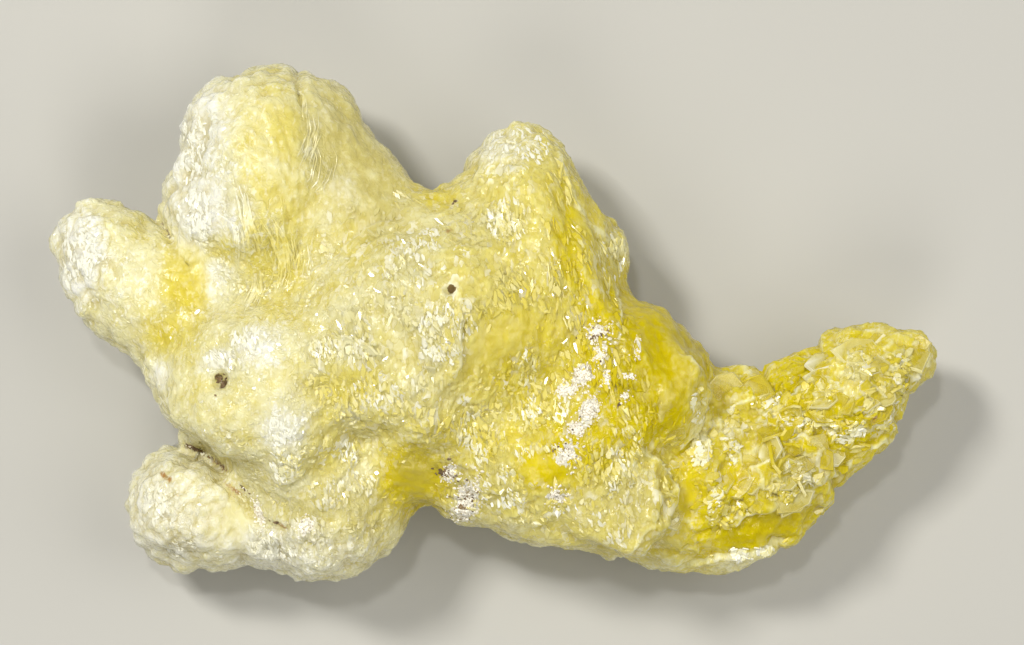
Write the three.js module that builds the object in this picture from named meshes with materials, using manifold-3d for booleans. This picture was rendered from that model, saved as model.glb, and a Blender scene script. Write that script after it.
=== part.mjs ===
// A brucite specimen: one fist of yellow mineral, grown as rounded lobes that merge into a lumpy
// body, with a horn at the back, a ridge, a lap of stepped plates, and a tail of six-sided tablets.
// Millimetres, +Z up. +X runs along the specimen towards the tip of the tail. The origin is on the
// surface that the specimen lies on, under the middle of its outline.
import * as THREE from 'three';
import { ImprovedNoise } from 'three/addons/math/ImprovedNoise.js';
import { MarchingCubes } from 'three/addons/objects/MarchingCubes.js';
import { mergeVertices } from 'three/addons/utils/BufferGeometryUtils.js';
import Module from 'manifold-3d';

const wasm = await Module();
wasm.setup();

// The lattice that the merged lobes are skinned on, and how the skin is evened out.
const REACH = 43;
const CELLS = 64;
const MIDDLE_HEIGHT = 9.5;
const LEAST_STEP = 0.06;
const MOST_TRIANGLES = 20000;
const EVENING = { rounds: 4, pull: 0.6, probe: 0.05, longestMove: 0.4 };
const WELD = 1e-4;

// How the growth merges, swells and blisters.
const MERGE = { withinLobes: 2.6, betweenLobes: 1.4, hollow: 1.0 };
const SWELL = { depth: 0.5, wave: 7.0 };
const BLISTER = { depth: 1.3, wave: 4.4, crease: 0.4 };
const PIMPLE = { depth: 0.5, wave: 1.9 };
const REST_CUT = { width: 90, depth: 20, height: 0.5 };

// Each lobe is an ellipsoid: its centre, its three radii, and its turn about Z in degrees.
const LOBES = {
  crown: [
    { at: [-15.8, 9.4, 7.3], radii: [6.6, 8.3, 7.7] },
    { at: [-12.5, 12.5, 7.0], radii: [3.4, 4.5, 5.2] },
    { at: [-10.3, 7.4, 6.6], radii: [5.0, 5.0, 5.9] },
    { at: [-19.5, 7.2, 7.2], radii: [3.3, 3.7, 5.6] },
    { at: [-18.8, 14.3, 7.6], radii: [1.6, 1.7, 2.4] },
  ],
  finger: [
    { at: [-27.8, 5.0, 7.4], radii: [3.2, 3.4, 3.9] },
    { at: [-25.5, 3.4, 7.3], radii: [3.8, 4.5, 4.6], turn: -25 },
    { at: [-22.2, 1.1, 7.6], radii: [4.7, 4.1, 5.2] },
  ],
  flank: [
    { at: [-17.0, -3.6, 8.2], radii: [6.7, 6.0, 8.0] },
    { at: [-14.4, -2.6, 12.4], radii: [3.9, 3.6, 4.1] },
    { at: [-13.6, -7.4, 11.3], radii: [4.2, 4.0, 4.8] },
    { at: [-18.4, -6.0, 11.3], radii: [3.4, 3.2, 4.3] },
  ],
  foot: [
    { at: [-20.8, -12.5, 5.9], radii: [4.9, 4.5, 6.3] },
    { at: [-22.0, -14.0, 5.6], radii: [2.4, 2.2, 3.6] },
    { at: [-17.2, -14.0, 5.7], radii: [3.6, 2.9, 4.6] },
    { at: [-11.2, -12.7, 6.6], radii: [5.3, 5.6, 6.8] },
  ],
  heart: [
    { at: [-4.0, -0.6, 8.7], radii: [11.2, 8.7, 9.2] },
    { at: [-3.6, 4.7, 7.6], radii: [4.9, 4.2, 5.9] },
    { at: [-4.8, -7.5, 7.8], radii: [5.3, 5.0, 6.4] },
  ],
  horn: [
    { at: [2.1, 7.4, 7.9], radii: [4.2, 5.9, 6.4] },
    { at: [1.2, 11.2, 7.4], radii: [1.5, 1.5, 3.2] },
    { at: [4.1, 2.6, 8.6], radii: [4.4, 6.0, 7.2] },
    { at: [8.2, 4.9, 7.0], radii: [1.9, 1.9, 2.8] },
  ],
  ridge: [
    { at: [8.8, -4.2, 8.7], radii: [5.6, 6.1, 7.0] },
    { at: [12.0, -3.8, 8.2], radii: [2.4, 3.3, 5.4] },
  ],
  lap: [
    { at: [3.0, -8.8, 7.6], radii: [6.7, 6.5, 7.7] },
    { at: [7.4, -10.3, 7.2], radii: [5.3, 5.3, 6.2] },
    { at: [-2.6, -12.7, 7.4], radii: [1.2, 1.2, 2.2] },
  ],
  tail: [
    { at: [13.2, -12.1, 5.5], radii: [5.2, 6.0, 5.8] },
    { at: [17.7, -10.3, 5.9], radii: [4.9, 7.0, 4.8] },
    { at: [20.4, -12.2, 6.0], radii: [2.4, 2.9, 2.8] },
    { at: [22.3, -6.7, 6.4], radii: [4.4, 4.9, 3.7] },
    { at: [25.9, -7.1, 6.4], radii: [2.6, 2.4, 2.5] },
    { at: [26.1, -4.0, 6.8], radii: [3.3, 3.7, 2.9], turn: -28 },
    { at: [29.2, -1.8, 6.9], radii: [1.8, 1.6, 2.0] },
  ],
};
// The clefts between neighbouring lobes, the hollow where the finger meets the crown, and a pit.
const HOLLOWS = [
  { at: [-23.2, 6.9, 12.0], radii: [2.2, 0.9, 5.5], turn: -38 },
  { at: [-21.6, -8.7, 10.5], radii: [4.8, 1.1, 6.0], turn: -22 },
  { at: [-20.9, 3.6, 13.4], radii: [1.6, 2.1, 2.8] },
  { at: [-18.5, -3.9, 16.0], radii: [1.1, 1.3, 2.0] },
  { at: [10.7, 2.7, 7.5], radii: [1.5, 1.1, 8.0] },
];

// Six-sided tablets grown into the skin. A bed sows them along a line in plan, from its wide end to
// its narrow one, and most lie on top. A plate is one broad tablet, at its middle in space, that
// leans towards a direction in plan.
const SIDES = 6;
const TABLET = { thick: 1.5, shown: 0.45, taper: 0.9, uneven: 0.16, stretch: 0.5, lift: 15, oneBelowIn: 4 };
const TABLET_BEDS = [
  { seed: 3, count: 32, from: [13.8, -11.6], to: [29.6, -2.6], band: [5.2, 0.8], radius: [1.9, 1.2] },
  { seed: 5, count: 4, from: [1.5, 11.2], to: [6.0, 2.4], band: [1.0, 1.2], radius: [1.3, 1.4] },
];
const PLATES = [
  { at: [8.7, -11.9, 12.5], radius: 4.2, thick: 1.2, towards: -25, lean: 7, spin: 24 },
  { at: [9.5, -12.0, 11.6], radius: 4.2, thick: 1.1, towards: -25, lean: 5, spin: 21 },
  { at: [18.0, -13.3, 9.3], radius: 3.3, thick: 1.0, towards: -70, lean: 9, spin: 12 },
];

const noise = new ImprovedNoise();
const upright = new THREE.Vector3(0, 0, 1);
const local = new THREE.Vector3();

/** Signed distance to an ellipsoid, near enough beside its skin. */
function distanceTo({ at, radii, turn = 0 }, point) {
  local.set(point.x - at[0], point.y - at[1], point.z - at[2]);
  local.applyAxisAngle(upright, -THREE.MathUtils.degToRad(turn));
  const scaled = Math.hypot(local.x / radii[0], local.y / radii[1], local.z / radii[2]);
  const slope = Math.hypot(local.x / radii[0] ** 2, local.y / radii[1] ** 2, local.z / radii[2] ** 2);
  return slope > 0 ? (scaled * (scaled - 1)) / slope : -Math.min(...radii);
}

/** The smaller of two distances, with a fillet of the given width where they meet. */
function merged(a, b, width) {
  const share = Math.max(width - Math.abs(a - b), 0) / width;
  return Math.min(a, b) - (share * share * width) / 4;
}

/** How far broad swellings and creased blisters raise the skin at a point. */
function relief({ x, y, z }) {
  const swell = noise.noise(x / SWELL.wave, y / SWELL.wave, z / SWELL.wave);
  const crease = Math.abs(noise.noise(x / BLISTER.wave, y / BLISTER.wave, z / BLISTER.wave + 9));
  const pimple = noise.noise(x / PIMPLE.wave + 5, y / PIMPLE.wave, z / PIMPLE.wave);
  const blister = Math.min(crease, BLISTER.crease) - BLISTER.crease / 2;
  return SWELL.depth * swell + BLISTER.depth * blister + PIMPLE.depth * pimple;
}

/** Signed distance to the lobes alone, merged in their groups. */
function lobesDistance(point) {
  let whole = Infinity;
  for (const group of Object.values(LOBES)) {
    const part = group
      .map((lobe) => distanceTo(lobe, point))
      .reduce((a, b) => merged(a, b, MERGE.withinLobes));
    whole = whole === Infinity ? part : merged(whole, part, MERGE.betweenLobes);
  }
  return whole;
}

/** Signed distance to the growth: the lobes with their relief, less the hollows. */
function growthDistance(point) {
  let whole = lobesDistance(point) - relief(point);
  for (const hollow of HOLLOWS) whole = -merged(-whole, distanceTo(hollow, point), MERGE.hollow);
  return whole;
}

/** The direction in which a distance grows at a point. */
function outwardAt(point, distance) {
  const outward = new THREE.Vector3();
  for (const axis of ['x', 'y', 'z']) {
    const ahead = point.clone();
    const behind = point.clone();
    ahead[axis] += EVENING.probe;
    behind[axis] -= EVENING.probe;
    outward[axis] = distance(ahead) - distance(behind);
  }
  return outward.normalize();
}

/** Moves a point onto the skin along the way out. */
function settle(point) {
  const step = THREE.MathUtils.clamp(growthDistance(point), -EVENING.longestMove, EVENING.longestMove);
  return point.addScaledVector(outwardAt(point, growthDistance), -step);
}

/** A geometry's position alone, its shared corners welded. */
function welded(geometry) {
  const bare = new THREE.BufferGeometry().setAttribute('position', geometry.getAttribute('position'));
  return mergeVertices(bare.setIndex(geometry.index), WELD);
}

/** A closed geometry as a solid. */
function solidFrom(geometry) {
  const closed = welded(geometry);
  return new wasm.Manifold(new wasm.Mesh({
    numProp: 3,
    vertProperties: closed.getAttribute('position').array,
    triVerts: new Uint32Array(closed.index.array),
  }));
}

/** Draws each corner towards its neighbours and back onto the skin, so that the facets even out. */
function evenOut(geometry) {
  const position = geometry.getAttribute('position');
  const corners = Array.from({ length: position.count }, (_, i) => new THREE.Vector3().fromBufferAttribute(position, i));
  const neighbours = corners.map(() => new Set());
  const index = geometry.index.array;
  for (let i = 0; i < index.length; i += 3) {
    for (let side = 0; side < 3; side++) {
      const [a, b] = [index[i + side], index[i + ((side + 1) % 3)]];
      neighbours[a].add(b);
      neighbours[b].add(a);
    }
  }
  for (let round = 0; round < EVENING.rounds; round++) {
    const middles = neighbours.map((near) => {
      const middle = new THREE.Vector3();
      near.forEach((other) => middle.add(corners[other]));
      return middle.divideScalar(near.size);
    });
    corners.forEach((corner, i) => settle(corner.lerp(middles[i], EVENING.pull)));
  }
  corners.forEach((corner, i) => position.setXYZ(i, corner.x, corner.y, corner.z));
  return geometry;
}

/** The merged lobes as one closed solid. */
function growth() {
  const cubes = new MarchingCubes(CELLS, new THREE.MeshBasicMaterial(), false, false, MOST_TRIANGLES);
  cubes.isolation = 0;
  const point = new THREE.Vector3();
  const coordinate = (step) => ((step - cubes.halfsize) / cubes.halfsize) * REACH;
  for (let i = 0; i < cubes.size3; i++) {
    point.set(
      coordinate(i % CELLS),
      coordinate(Math.floor(i / CELLS) % CELLS),
      coordinate(Math.floor(i / CELLS ** 2)) + MIDDLE_HEIGHT,
    );
    const inside = -growthDistance(point);
    cubes.field[i] = inside < 0 ? Math.min(inside, -LEAST_STEP) : Math.max(inside, LEAST_STEP);
  }
  cubes.update();
  const corners = cubes.positionArray.slice(0, cubes.count * 3);
  const skin = new THREE.BufferGeometry().setAttribute('position', new THREE.BufferAttribute(corners, 3));
  skin.scale(REACH, REACH, REACH);
  skin.translate(0, 0, MIDDLE_HEIGHT);
  return solidFrom(evenOut(welded(skin)));
}

/** A source of even random numbers between two limits, the same on every run. */
function randomFrom(seed) {
  THREE.MathUtils.seededRandom(seed);
  return (low, high) => THREE.MathUtils.lerp(low, high, THREE.MathUtils.seededRandom());
}

/** The point of the skin above or below a place in plan. */
function skinPoint(x, y, side) {
  const point = new THREE.Vector3(x, y, MIDDLE_HEIGHT + side * 2 * MIDDLE_HEIGHT);
  for (let step = 0; step < 60; step++) point.z -= side * growthDistance(point) * 0.8;
  return point;
}

/** A normal leaned by an angle in degrees towards a direction in plan. */
function leaning(normal, towards, lean) {
  const hinge = new THREE.Vector3(-Math.sin(towards), Math.cos(towards), 0);
  return normal.clone().applyAxisAngle(hinge, THREE.MathUtils.degToRad(lean));
}

/** A six-sided tablet with uneven corners and sloping edges, its broad face along a normal. */
function tablet({ at, radius, thick, normal, spin, stretch, corners }) {
  const geometry = new THREE.CylinderGeometry(radius * TABLET.taper, radius, thick, SIDES, 1);
  const position = geometry.getAttribute('position');
  for (let i = 0; i < position.count; i++) {
    const [x, z] = [position.getX(i), position.getZ(i)];
    const corner = Math.round((Math.atan2(z, x) / (2 * Math.PI)) * SIDES + SIDES) % SIDES;
    const reach = Math.hypot(x, z) > radius / 2 ? 1 + corners[corner] : 0;
    position.setX(i, x * reach * stretch);
    position.setZ(i, z * reach);
  }
  geometry.rotateY(spin);
  geometry.applyQuaternion(new THREE.Quaternion().setFromUnitVectors(new THREE.Vector3(0, 1, 0), normal));
  geometry.translate(at.x, at.y, at.z);
  return solidFrom(geometry);
}

/** A band of tablets sown along a line in plan, on top and here and there underneath. */
function tabletBed({ seed, count, from, to, band, radius }) {
  const random = randomFrom(seed);
  const line = new THREE.Vector2(to[0] - from[0], to[1] - from[1]);
  const across = new THREE.Vector2(-line.y, line.x).normalize();
  return Array.from({ length: count }, (_, i) => {
    const along = (i + random(0.1, 0.9)) / count;
    const offset = random(-1, 1) * THREE.MathUtils.lerp(band[0], band[1], along);
    const side = i % TABLET.oneBelowIn === 2 ? -1 : 1;
    const at = skinPoint(
      from[0] + line.x * along + across.x * offset,
      from[1] + line.y * along + across.y * offset,
      side,
    );
    const normal = leaning(outwardAt(at, lobesDistance), random(-Math.PI, Math.PI), TABLET.lift);
    return tablet({
      at: at.addScaledVector(normal, TABLET.shown - TABLET.thick / 2),
      radius: THREE.MathUtils.lerp(radius[0], radius[1], along) * random(0.75, 1.25),
      thick: TABLET.thick,
      normal,
      spin: random(0, Math.PI),
      stretch: 1 + random(0, TABLET.stretch),
      corners: Array.from({ length: SIDES }, () => random(-TABLET.uneven, TABLET.uneven)),
    });
  });
}

/** One broad plate, buried in the skin but for its free edge. */
function plate({ at, radius, thick, towards, lean, spin }, order) {
  const random = randomFrom(order + 20);
  return tablet({
    at: new THREE.Vector3(...at),
    radius,
    thick,
    normal: leaning(upright, THREE.MathUtils.degToRad(towards), lean),
    spin: THREE.MathUtils.degToRad(spin),
    stretch: 1,
    corners: Array.from({ length: SIDES }, () => random(-TABLET.uneven, TABLET.uneven) / 2),
  });
}

/** The grown mass with its tablets and knobs, cut flat where it rests. */
function specimenSolid() {
  const restCut = new THREE.BoxGeometry(REST_CUT.width, REST_CUT.width, REST_CUT.depth);
  restCut.translate(0, 0, REST_CUT.height - REST_CUT.depth / 2);
  return wasm.Manifold.union([
    growth(),
    ...TABLET_BEDS.flatMap(tabletBed),
    ...PLATES.map(plate),
  ]).subtract(solidFrom(restCut));
}

const { vertProperties, triVerts } = specimenSolid().getMesh();
const geometry = new THREE.BufferGeometry();
geometry.setAttribute('position', new THREE.BufferAttribute(new Float32Array(vertProperties), 3));
geometry.setIndex(new THREE.BufferAttribute(new Uint32Array(triVerts), 1));
geometry.computeVertexNormals();
geometry.computeBoundingBox();

const brucite = new THREE.Mesh(
  geometry,
  new THREE.MeshStandardMaterial({ color: 0xe9de72, roughness: 0.35, metalness: 0 }),
);
brucite.name = 'brucite';
const middle = geometry.boundingBox.getCenter(new THREE.Vector3());
brucite.position.set(-middle.x, -middle.y, -geometry.boundingBox.min.z);

const specimen = new THREE.Group();
specimen.add(brucite);
export default specimen;
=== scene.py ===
"""The looks of a yellow brucite specimen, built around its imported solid.

Lengths in the classes below are millimetres in the part's own frame: +X towards the tip of the
tail, +Y towards the crown and the horn, +Z up, the origin on the surface it lies on. Meshes are
written in metres.
"""
import logging
import math
from dataclasses import dataclass, field
from enum import Enum

import bmesh
import bpy
import numpy as np
from bmesh.types import BMEdge, BMesh, BMVert
from bpy.types import Material, Mesh, Node, NodeSocket, NodeTree, Object
from mathutils import Matrix, Vector, noise
from mathutils.bvhtree import BVHTree


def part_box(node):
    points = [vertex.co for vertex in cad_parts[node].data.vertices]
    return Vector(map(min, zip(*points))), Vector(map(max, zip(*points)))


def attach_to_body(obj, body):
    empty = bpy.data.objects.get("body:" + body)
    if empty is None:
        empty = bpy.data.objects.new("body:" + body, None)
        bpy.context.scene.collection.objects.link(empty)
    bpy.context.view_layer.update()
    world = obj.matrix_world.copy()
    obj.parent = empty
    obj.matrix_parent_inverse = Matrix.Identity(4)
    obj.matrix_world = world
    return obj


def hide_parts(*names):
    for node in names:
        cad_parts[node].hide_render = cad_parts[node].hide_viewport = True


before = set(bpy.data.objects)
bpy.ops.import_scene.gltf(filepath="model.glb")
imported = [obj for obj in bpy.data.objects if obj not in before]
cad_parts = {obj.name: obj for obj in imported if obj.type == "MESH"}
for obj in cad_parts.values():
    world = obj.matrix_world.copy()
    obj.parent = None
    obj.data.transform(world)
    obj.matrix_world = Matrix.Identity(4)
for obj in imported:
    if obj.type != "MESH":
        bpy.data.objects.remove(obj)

MM = 0.001
NODE = "brucite"
BODY = "root"
# The weight of a zone at its half widths.
EDGE_WEIGHT = 0.37
# Parts the random numbers of cells that lie side by side.
CELL_SCRAMBLE = 57.0
# The refraction of brucite.
BRUCITE_IOR = 1.57
UP = Vector((0, 0, 1))

logging.basicConfig(level=logging.INFO, format="%(name)s: %(message)s")
log = logging.getLogger("specimen")


class Trait(Enum):
    """A quality of the surface that is kept on each corner and read by the materials."""

    YELLOW = "yellow"
    # White frosting together with painted highlights.
    FROST_AND_HIGHLIGHT = "frost_and_highlight"
    SCALY = "scaly"
    CRUST = "crust"
    ROCK = "rock"
    RUST = "rust"
    PLATY = "platy"
    KNOBBY = "knobby"
    SOLID = "solid"
    # Painted shade in crevices and at the feet of layer edges.
    CREVICE_SHADE = "crevice_shade"
    SMOKY = "smoky"


class Heading(Enum):
    """Which way the long side of a small crystal points, in degrees against the clock from +X."""

    GRAIN = 104.0
    TAIL = 38.0
    ANY = None


def linear(code: str) -> tuple[float, float, float, float]:
    """A display colour, such as "e8dc70", as linear red, green, blue and alpha."""
    shares = [int(code[i:i + 2], 16) / 255 for i in (0, 2, 4)]
    return (*[s / 12.92 if s <= 0.04045 else ((s + 0.055) / 1.055) ** 2.4 for s in shares], 1.0)


def smooth_step(values: np.ndarray, low: float, high: float) -> np.ndarray:
    """Rises smoothly from 0 at low to 1 at high.

    Args:
        values: The values to grade.
        low: Where the rise starts.
        high: Where the rise ends.

    Returns:
        One share from 0 to 1 for each value.
    """
    share = np.clip((values - low) / (high - low), 0.0, 1.0)
    return share * share * (3.0 - 2.0 * share)


def wavy(points: np.ndarray, wave: float | tuple[float, float, float], shift: float = 0.0) -> np.ndarray:
    """Smooth noise from -1 to 1 at each point.

    Args:
        points: One row of x, y, z for each point.
        wave: The length of a wave, or one length for each axis.
        shift: Moves the pattern, so that two calls differ.

    Returns:
        One value for each point.
    """
    rows = (points / np.asarray(wave) + shift).tolist()
    return np.array([noise.noise(row) for row in rows])


def crumpled(points: np.ndarray, reach: float) -> np.ndarray:
    """The points shifted by noise of the given reach, so that no pattern on them runs straight."""
    shifts = [wavy(points, 3.0 * reach, shift) for shift in (11.0, 17.0, 23.0)]
    return points + reach * np.column_stack(shifts)


def grained(points: np.ndarray, lean: float) -> np.ndarray:
    """Turns points so that Y runs along a grain.

    Args:
        points: One row of x, y, z for each point.
        lean: How far the grain leans right of straight up, in degrees.

    Returns:
        The turned points.
    """
    turn = math.radians(lean)
    x = points[:, 0] * math.cos(turn) - points[:, 1] * math.sin(turn)
    y = points[:, 0] * math.sin(turn) + points[:, 1] * math.cos(turn)
    return np.column_stack([x, y, points[:, 2]])


def draped(points: np.ndarray) -> np.ndarray:
    """The points bent so that Y follows the folds that hang round the crown."""
    bow = 0.055 * (points[:, 1] - 6.0) ** 2 + 0.5 * wavy(points, 4.0, 3.0)
    return np.column_stack([points[:, 0] + bow * 0.5, points[:, 1], points[:, 2]])


def as_piece(name: str, shape: BMesh) -> Object:
    """Puts a shape into the scene as an object of its own.

    Args:
        name: The name of the object and of its mesh.
        shape: The shape in metres, which is freed.

    Returns:
        The object, without a material.
    """
    mesh = bpy.data.meshes.new(name)
    shape.to_mesh(mesh)
    shape.free()
    piece = bpy.data.objects.new(name, mesh)
    bpy.context.scene.collection.objects.link(piece)
    return piece


@dataclass(frozen=True)
class Pattern:
    """One kind of relief that is made of waves.

    Attributes:
        height: How high it is.
        wave: The length of a wave, or one length for each axis.
        shift: Moves the pattern, so that two kinds differ.
        bend: How far noise shifts the points before the pattern is laid on them.
        gain: How much steeper than the noise the sides of its backs are.
    """

    height: float
    wave: float | tuple[float, float, float]
    shift: float = 0.0
    bend: float = 0.0
    gain: float = 2.6

    def waves(self, points: np.ndarray) -> np.ndarray:
        """Smooth waves from -1 to 1."""
        return wavy(points, self.wave, self.shift)

    def backs(self, points: np.ndarray) -> np.ndarray:
        """Rounded worms parted by narrow creases, from 0 in a crease to about 1 on a back."""
        bent = crumpled(points, self.bend) if self.bend else points
        return np.minimum(np.abs(self.waves(bent)) * self.gain, 1.0)


@dataclass(frozen=True)
class Cells:
    """Irregular cells, each with its own middle and level.

    Attributes:
        size: The width of a cell along each axis.
        shift: Moves the pattern, so that two sets differ.
        tilt: How steeply a cell's flat plate leans, as rise for one cell.
        step: How far the plates stand above one another.
        sharp: How much narrower than its cell a round knob is.
    """

    size: tuple[float, float, float]
    shift: float = 0.0
    tilt: float = 0.0
    step: float = 0.0
    sharp: float = 1.35

    def scaled(self, points: np.ndarray) -> list[list[float]]:
        """The points counted in cells."""
        return (points / np.asarray(self.size) + self.shift).tolist()

    def split(self, points: np.ndarray) -> tuple[np.ndarray, np.ndarray, np.ndarray]:
        """Finds the cell that each point is in.

        Args:
            points: One row of x, y, z for each point.

        Returns:
            Each point's distance to its cell's middle in cells, its offset from it, and three
            random numbers of the cell, from 0 to 1.
        """
        reach, offset, chance = [], [], []
        for row in self.scaled(points):
            distances, middles = noise.voronoi(row)
            middle = middles[0]
            reach.append(distances[0])
            offset.append((row[0] - middle[0], row[1] - middle[1], row[2] - middle[2]))
            chance.append(noise.cell_vector(middle * CELL_SCRAMBLE)[:])
        return np.array(reach), np.array(offset), np.array(chance)

    def domes(self, points: np.ndarray) -> np.ndarray:
        """A round knob in each cell, from 0 at its foot to 1 on top."""
        return np.clip(1.0 - (self.split(points)[0] * self.sharp) ** 2, 0.0, 1.0)

    def borders(self, points: np.ndarray, width: float) -> np.ndarray:
        """1 on the borders between the cells, 0 off them; the width is half a border's, in cells."""
        distances = np.array([noise.voronoi(row)[0][:2] for row in self.scaled(points)])
        return np.exp(-((distances[:, 1] - distances[:, 0]) / width) ** 2)

    def facets(self, points: np.ndarray) -> np.ndarray:
        """The height of a flat tilted plate in each cell, about evenly above and below 0."""
        _, offset, chance = self.split(points)
        lean = ((chance - 0.5) * offset).sum(axis=1) * 2.0
        return self.tilt * lean + self.step * (chance[:, 0] + chance[:, 1] - 1.0)


@dataclass(frozen=True)
class Zone:
    """A soft oval patch of the specimen, seen from above.

    Attributes:
        x, y: Its middle.
        rx, ry: Its half widths.
        turn: Its turn in degrees, against the clock.
        strength: Its greatest weight.
    """

    x: float
    y: float
    rx: float
    ry: float
    turn: float = 0.0
    strength: float = 1.0

    def weight(self, points: np.ndarray) -> np.ndarray:
        """How strongly the zone counts at each point.

        Args:
            points: One row of x, y, z for each point.

        Returns:
            One weight for each point, from 0 to the zone's strength.
        """
        angle = math.radians(self.turn)
        dx, dy = points[:, 0] - self.x, points[:, 1] - self.y
        along = (dx * math.cos(angle) + dy * math.sin(angle)) / self.rx
        across = (dy * math.cos(angle) - dx * math.sin(angle)) / self.ry
        return self.strength * np.exp(-(along ** 2 + across ** 2) ** 1.5)


def spread(zones: list[Zone], points: np.ndarray) -> np.ndarray:
    """The strongest weight of several zones at each point.

    Args:
        zones: The zones.
        points: One row of x, y, z for each point.

    Returns:
        One weight for each point, 0 far from all zones.
    """
    weights = np.zeros(len(points))
    for zone in zones:
        weights = np.maximum(weights, zone.weight(points))
    return weights


@dataclass(frozen=True)
class Groove:
    """A narrow cleft that runs through several points in plan.

    Attributes:
        path: The points that it runs through.
        width: Its half width.
        depth: How deep it is.
    """

    path: tuple[tuple[float, float], ...]
    width: float
    depth: float

    def weight(self, points: np.ndarray) -> np.ndarray:
        """How near each point is to the middle of the cleft.

        Args:
            points: One row of x, y, z for each point.

        Returns:
            One share for each point, from 0 far off to 1 in the middle.
        """
        nearest = np.full(len(points), np.inf)
        for (ax, ay), (bx, by) in zip(self.path, self.path[1:]):
            run = np.array([bx - ax, by - ay])
            start = points[:, :2] - (ax, ay)
            share = np.clip(start @ run / (run @ run), 0.0, 1.0)
            nearest = np.minimum(nearest, np.linalg.norm(start - share[:, None] * run, axis=1))
        return np.exp(-(nearest / self.width) ** 2)


@dataclass(frozen=True)
class Terrace:
    """A step in the skin: the free edge of a layer that thins out behind it.

    Attributes:
        path: The points that the edge runs through. The layer is on its left.
        rise: The height of the step.
        reach: How far behind the edge the layer thins out.
        stray: How far the edge strays from the path.
        fade: How far past the ends of the path the edge fades out.
        soft: Half the width of the step.
        rim_at, rim_width: How far behind the edge its pale rim is, and the rim's half width; the rim is a
            painted highlight.
        shade_at, shade_width: How far in front of the edge its shaded foot is, and the foot's
            half width.
        shade: How strongly the foot is shaded.
    """

    path: tuple[tuple[float, float], ...]
    rise: float
    reach: float = 3.0
    stray: float = 0.25
    fade: float = 0.8
    soft: float = 0.09
    rim_at: float = 0.06
    rim_width: float = 0.14
    shade_at: float = 0.22
    shade_width: float = 0.13
    shade: float = 0.8

    def offsets(self, points: np.ndarray, shifts: np.ndarray) -> tuple[np.ndarray, np.ndarray]:
        """Where each point is, as seen from the edge.

        Args:
            points: One row of x, y, z for each point.
            shifts: How the edge strays in x and y at each point, from -1 to 1.

        Returns:
            The distance behind the edge, below 0 in front of it, and from 0 to 1 how far the
            point is beside the edge and not past its ends.
        """
        strayed = points[:, :2] + self.stray * shifts
        nearest = np.full(len(points), np.inf)
        signed, inside = np.zeros(len(points)), np.zeros(len(points))
        for (ax, ay), (bx, by) in zip(self.path, self.path[1:]):
            run = np.array([bx - ax, by - ay])
            start = strayed - (ax, ay)
            along = start @ run / (run @ run)
            share = np.clip(along, 0.0, 1.0)
            distance = np.linalg.norm(start - share[:, None] * run, axis=1)
            left = np.sign(run[0] * start[:, 1] - run[1] * start[:, 0])
            nearer = distance < nearest
            nearest = np.where(nearer, distance, nearest)
            signed = np.where(nearer, distance * left, signed)
            past = np.linalg.norm((along - share)[:, None] * run, axis=1)
            inside = np.where(nearer, np.exp(-(past / self.fade) ** 2), inside)
        return signed, inside

    def step(self, points: np.ndarray, shifts: np.ndarray) -> tuple[np.ndarray, np.ndarray, np.ndarray]:
        """How the layer shows at each point.

        Args:
            points: One row of x, y, z for each point.
            shifts: How the edge strays in x and y at each point, from -1 to 1.

        Returns:
            The height that the layer adds, then 1 on its pale rim, a painted highlight, and 0 off it,
            then how strongly the foot of its edge is shaded with painted shade.
        """
        signed, inside = self.offsets(points, shifts)
        layer = smooth_step(signed, -self.soft, self.soft) * np.exp(-np.maximum(signed, 0.0) / self.reach)
        rim = inside * np.exp(-((signed - self.rim_at) / self.rim_width) ** 2)
        foot = self.shade * inside * np.exp(-((signed + self.shade_at) / self.shade_width) ** 2)
        return self.rise * inside * layer, rim, foot


@dataclass(frozen=True)
class Heap:
    """A patch of crumbs.

    Attributes:
        x, y: Its middle.
        rx, ry: Its half widths.
        count: How many crumbs it has.
        dark: The share of them that is dark rock.
        turn: Its turn in degrees, against the clock.
    """

    x: float
    y: float
    rx: float
    ry: float
    count: int
    dark: float = 0.01
    turn: float = 0.0

    def zone(self) -> Zone:
        """The patch of skin that the heap covers."""
        return Zone(self.x, self.y, self.rx, self.ry, self.turn, 0.8)


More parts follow.
